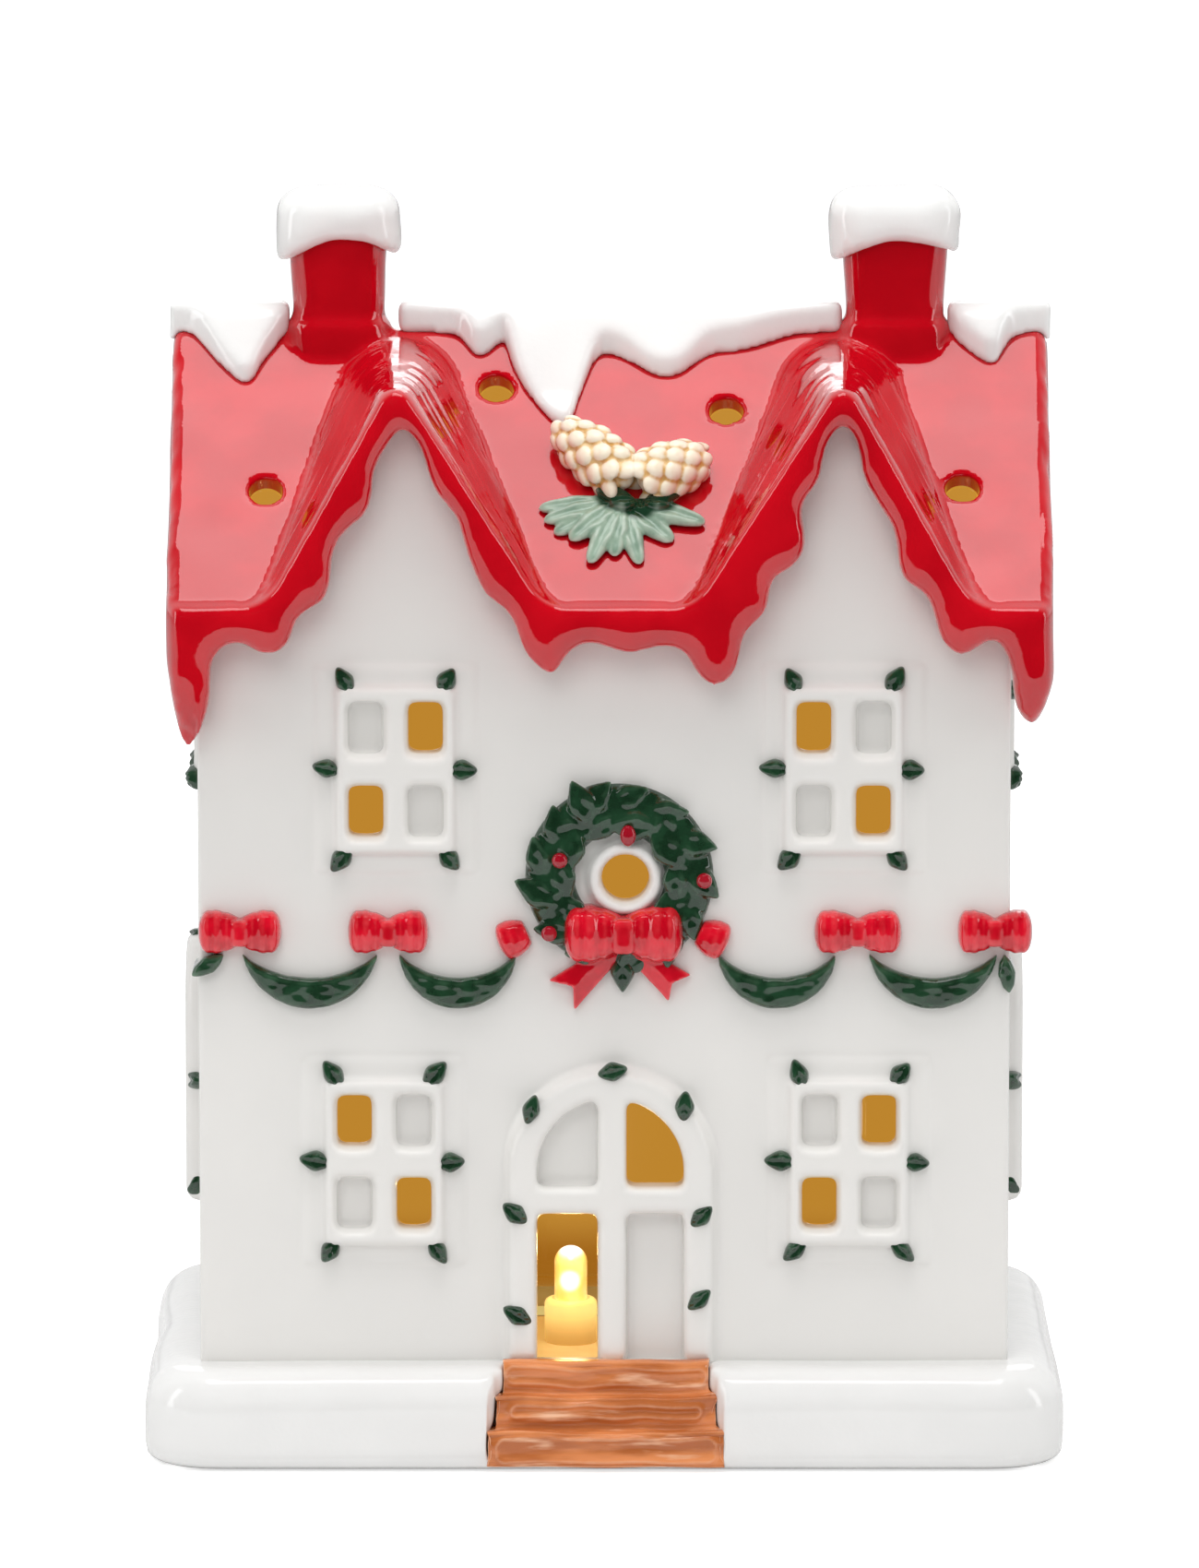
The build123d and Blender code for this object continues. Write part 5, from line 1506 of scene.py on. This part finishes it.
@dataclass
class ConeSpray:
    """The two pine cones and the fir sprig on the roof."""

    foundry: Foundry
    holly: HollyMaker
    eave: tuple[float, float] = (-41.0 * MM, 131.4 * MM)
    slope: float = 42.9
    scales: int = 40
    cone_skin: Skin = (0.22 * MM, 8, 60_000)
    sprig_skin: Skin = (0.22 * MM, 2, 60_000)
    cones: tuple[tuple[str, float, float, float], ...] = (
        ("left", 3.4, 14.2, 44.0), ("right", 5.6, 10.6, -64.0),
    )
    blade: float = 13.5 * MM
    long_blades: tuple[tuple[float, float], ...] = (
        (95, 0.98), (107, 0.96), (120, 0.92), (134, 0.84), (158, 1.0), (174, 0.82), (193, 0.95), (226, 0.84),
        (252, 1.04),
    )
    short_blades: tuple[Place, ...] = ((4.8, 66, 0.52), (6.0, -68, 0.48), (5.2, 92, 0.34), (5.6, -94, 0.34))

    def on_roof(self, x: float, y: float, lift: float) -> Matrix:
        """Return the frame of a place on the front slope.

        Args:
            x: Along the ridge.
            y: The place in plan.
            lift: Height over the slope.

        Returns:
            A frame with Y up the slope and Z out of it.
        """
        along = (y - self.eave[0]) / math.cos(math.radians(self.slope))
        place = Matrix.Translation((0, *self.eave)) @ turned(self.slope, "X")
        return place @ Matrix.Translation((x, along, lift))

    def cone(self, name: str, length: float, radius: float, seat: Matrix) -> Piece:
        """Return one cone of overlapping scales.

        Args:
            name: The piece's name.
            length: From stalk to tip.
            radius: Of its thickest part.
            seat: The frame that it lies in, along Y.

        Returns:
            The cone.
        """
        scale = Bench.ball(16, 12)
        Bench.sculpt(scale, lambda place, normal: Vector((
            place.x * 0.36 * radius, place.y * 0.44 * radius, place.z * 0.24 * radius,
        )))
        scales = []
        for index in range(self.scales):
            along = (index + 0.5) / self.scales
            girth = radius * math.sqrt(max(0.0, 1.0 - ((along - 0.44) / 0.62) ** 2))
            spot = turned(index * GOLDEN_TURN, "Y") @ Matrix.Translation((0, along * length, girth * 0.84))
            spot @= turned(-24, "X")
            scales.append(Bench.twin(scale, seat @ spot @ Matrix.Scale(1.16 - 0.36 * along, 4)))
        bpy.data.objects.remove(scale)
        core = Bench.ball(24, 16)
        form = Matrix.Diagonal((radius * 0.84, length * 0.52, radius * 0.84, 1))
        core.data.transform(seat @ Matrix.Translation((0, length * 0.46, 0)) @ form)
        piece = Bench.join(name, [core, *scales])
        Bench.skin(piece, *self.cone_skin)
        return piece

    def build(self) -> None:
        """Build the cones and the sprig."""
        glaze = CONE.material()
        for side, x, length, turn in self.cones:
            seat = self.on_roof(x * MM, -24.3 * MM, 2.1 * MM) @ turned(turn, "Z")
            cone = self.cone(f"pine_cone_{side}", length * MM, 4.3 * MM, seat)
            self.foundry.finish(cone, glaze, Slot.CONE, (f"pinecone_{side}",), 1, 1.4)
        dice = random.Random(4)
        blades = []
        template = self.holly.leaf(self.blade, 4.2 * MM, 1.7 * MM, tip=0.7, blunt=0.6)
        for turn, share in self.long_blades:
            seat = self.on_roof(2.6 * MM, -26.4 * MM, -0.2 * MM) @ turned(turn, "Z")
            seat @= Matrix.Translation((0, share * self.blade / 2, dice.uniform(0.0, 0.5) * MM))
            seat @= Matrix.Diagonal((dice.uniform(0.9, 1.1), share, 1.0, 1.0))
            blades.append(Bench.twin(template, seat))
        for x, turn, share in self.short_blades:
            seat = self.on_roof(x * MM, -27.0 * MM, 1.0 * MM) @ turned(turn, "Z")
            form = Matrix.Diagonal((0.75, share, 1.0, 1.0))
            seat @= Matrix.Translation((0, share * self.blade / 2, 0)) @ form
            blades.append(Bench.twin(template, seat))
        bpy.data.objects.remove(template)
        sprig = Bench.join("fir_needle_sprig", blades)
        Bench.skin(sprig, *self.sprig_skin)
        self.foundry.finish(sprig, SAGE.material(), Slot.SAGE, ("fir_sprig",), 1, 1.5)


@dataclass
class LightUnit:
    """The battery light under the house, dressed where it stands."""

    nodes: dict[str, Piece]

    def dress(self) -> None:
        """Give each of the light unit's nodes its material."""
        white = Moulded("white_moulded_plastic", (0.72, 0.72, 0.70), 0.42, True).material()
        black = Moulded("black_moulded_plastic", (0.02, 0.02, 0.022), 0.4).material()
        steel = Plated("plated_spring_steel", (0.70, 0.68, 0.62), 0.28).material()
        finishes = {
            "light_housing": white, "light_base_plate": white, "battery_door": white,
            "seal_ring": Moulded("soft_silicone", (0.70, 0.70, 0.68), 0.62).material(),
            "circuit_board": Moulded("green_board", (0.02, 0.13, 0.055), 0.35).material(),
            "driver_chip": black, "switch_case": black, "switch_knob": black,
            "coin_cell": Plated("cell_can", (0.66, 0.66, 0.65), 0.22).material(),
            "cell_contact": steel, "cell_clip": steel, "lamp_leads": steel,
            "battery_door_screw": Plated("small_screw", (0.55, 0.55, 0.55), 0.3).material(),
            "lamp_lens": LitLens().material(), "lamp_collar": LitCollar().material(),
        }
        for name, finish in finishes.items():
            node = self.nodes[name]
            node.data.materials.clear()
            node.data.materials.append(finish)
            LOG.info("%s: dressed", name)


@dataclass
class Studio:
    """The floor, the lights and the camera."""

    elevation: float = 9.5
    distance: float = 1.9
    lens: float = 283.52
    aim: Place = (0.0, 0.003, 0.093)
    shift: tuple[float, float] = (-0.00294, 0.01822)
    foot: tuple[float, float] = (66 * MM, 42 * MM)

    def camera(self) -> None:
        """Set up the photograph's camera."""
        data = bpy.data.cameras.new("photo_camera")
        data.lens = self.lens
        data.sensor_width = 36.0
        data.shift_x, data.shift_y = self.shift
        data.clip_start, data.clip_end = 0.05, 60.0
        view = bpy.data.objects.new("photo_camera", data)
        lean = math.radians(self.elevation)
        target = Vector(self.aim)
        back = Vector((0.0, -math.cos(lean), math.sin(lean)))
        view.location = target + back * self.distance
        view.rotation_euler = (math.radians(90 - self.elevation), 0.0, 0.0)
        bpy.context.scene.collection.objects.link(view)
        bpy.context.scene.camera = view

    @staticmethod
    def softbox(
        name: str, place: Vector, target: Vector, size: tuple[float, float], radiance: float
    ) -> Piece:
        """Hang one rectangular light.

        Args:
            name: The light's name.
            place: Where it hangs.
            target: What it faces.
            size: Its width and height.
            radiance: How bright its face is, where 1 is white.

        Returns:
            The light.
        """
        data = bpy.data.lights.new(name, "AREA")
        data.shape = "RECTANGLE"
        data.size, data.size_y = size
        data.energy = radiance * math.pi * size[0] * size[1]
        light = bpy.data.objects.new(name, data)
        light.location = place
        light.rotation_euler = (target - place).to_track_quat("-Z", "Y").to_euler()
        bpy.context.scene.collection.objects.link(light)
        return light

    def lights(self) -> None:
        """Hang the softboxes and the lamp's own small light."""
        middle = (0.0, 0.0, 0.09)
        for name, place, target, size, radiance, mirrored in (
            ("overhead_box", (0.0, -0.05, 0.56), (0.0, -0.05, 0.0), (0.30, 0.17), 2.5, True),
            ("top_fill", (0.0, -0.3, 1.0), middle, (0.6, 0.4), 4.2, False),
            ("front_box", (-0.25, -1.25, 1.05), middle, (0.9, 0.7), 2.5, False),
            ("left_box", (-1.1, -0.25, 0.45), middle, (0.22, 0.9), 2.4, True),
            ("right_box", (1.1, -0.25, 0.45), middle, (0.22, 0.9), 2.4, True),
            ("back_box", (0.0, 1.3, 0.8), middle, (0.9, 0.5), 1.2, True),
        ):
            box = self.softbox(name, Vector(place), Vector(target), size, radiance)
            box.visible_glossy = mirrored
        data = bpy.data.lights.new("lamp_glow", "POINT")
        data.color = (1.0, 0.68, 0.25)
        data.energy = 0.004
        data.shadow_soft_size = 0.002
        lamp = bpy.data.objects.new("lamp_glow", data)
        lamp.location = (-0.00515, -0.006, 0.027)
        bpy.context.scene.collection.objects.link(lamp)

    @staticmethod
    def world() -> None:
        """Make a white surround that lights the object only softly."""
        world = bpy.data.worlds.new("studio")
        bpy.context.scene.world = world
        world.use_nodes = True
        world.node_tree.nodes.clear()
        wires = Wiring(world.node_tree)
        path = wires.add("LightPath")
        depth = wires.split(wires.add("TexCoord").outputs["Generated"]).outputs["Y"]
        shine = wires.ramp(depth, -0.35, 0.45, {"To Min": 0.02, "To Max": 0.95})
        lit = wires.add("Mix", {0: path.outputs["Is Glossy Ray"], 2: 0.50, 3: shine})
        seen = wires.add("Mix", {0: path.outputs["Is Camera Ray"], 2: lit.outputs[0], 3: 1.0})
        back = wires.add("Background", {"Color": (1, 1, 1, 1), "Strength": seen.outputs[0]})
        wires.add("OutputWorld", {"Surface": back.outputs[0]})

    def floor(self) -> None:
        """Lay a white floor that keeps the shadow and lets light up under the base."""
        Bench.clear()
        bpy.ops.mesh.primitive_plane_add(size=1.0, location=(0, 5.29, -0.2 * MM))
        sheet = bpy.context.object
        sheet.name = "studio_floor"
        sheet.scale = (24.0, 11.42, 1.0)
        Bench.settle(sheet)
        mix = Recipe("studio_floor", 0.7)
        mix.colour((0.88, 0.88, 0.88))
        mix.set(mix.shader, {"Specular IOR Level": 0.2, "Emission Color": (1.0, 1.0, 1.0, 1.0)})
        path, side = mix.add("LightPath"), mix.add("NewGeometry")
        lift = mix.maths("MULTIPLY", path.outputs["Is Camera Ray"], 0.62)
        mix.set(mix.shader, {"Emission Strength": lift})
        place = mix.split(side.outputs["Position"])
        passed = path.outputs["Is Diffuse Ray"]
        for axis, reach in zip("XY", self.foot):
            under = mix.maths("COMPARE", place.outputs[axis], 0.0, reach)
            passed = mix.maths("MULTIPLY", passed, under)
        unseen = mix.maths("MAXIMUM", side.outputs["Backfacing"], passed)
        clear = mix.add("BsdfTransparent").outputs[0]
        blend = mix.add("MixShader", {0: unseen, 1: mix.shader.outputs[0], 2: clear})
        mix.tree.links.new(blend.outputs[0], mix.tree.nodes["Material Output"].inputs["Surface"])
        sheet.data.materials.append(mix.material)

    def build(self) -> None:
        """Set up the whole studio."""
        bpy.context.scene.view_settings.view_transform = "Standard"
        self.camera()
        self.lights()
        self.world()
        self.floor()


def main() -> None:
    """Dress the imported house."""
    logging.basicConfig(level=logging.INFO, format="%(name)s %(message)s")
    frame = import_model()
    Studio().build()
    foundry = Foundry(frame["nodes"])
    CastShell(foundry).build()
    Doorstep(foundry).build()
    green, ribbon = GREEN.material(), RIBBON.material()
    holly, bows = HollyMaker(foundry), BowMaker()
    holly.build(green)
    Garland(foundry, bows).build(green, ribbon)
    Wreath(foundry, holly, bows).build(green, ribbon)
    ConeSpray(foundry, holly).build()
    LightUnit(frame["nodes"]).dress()
    Bench.clear()


if __name__ == "__main__":
    main()
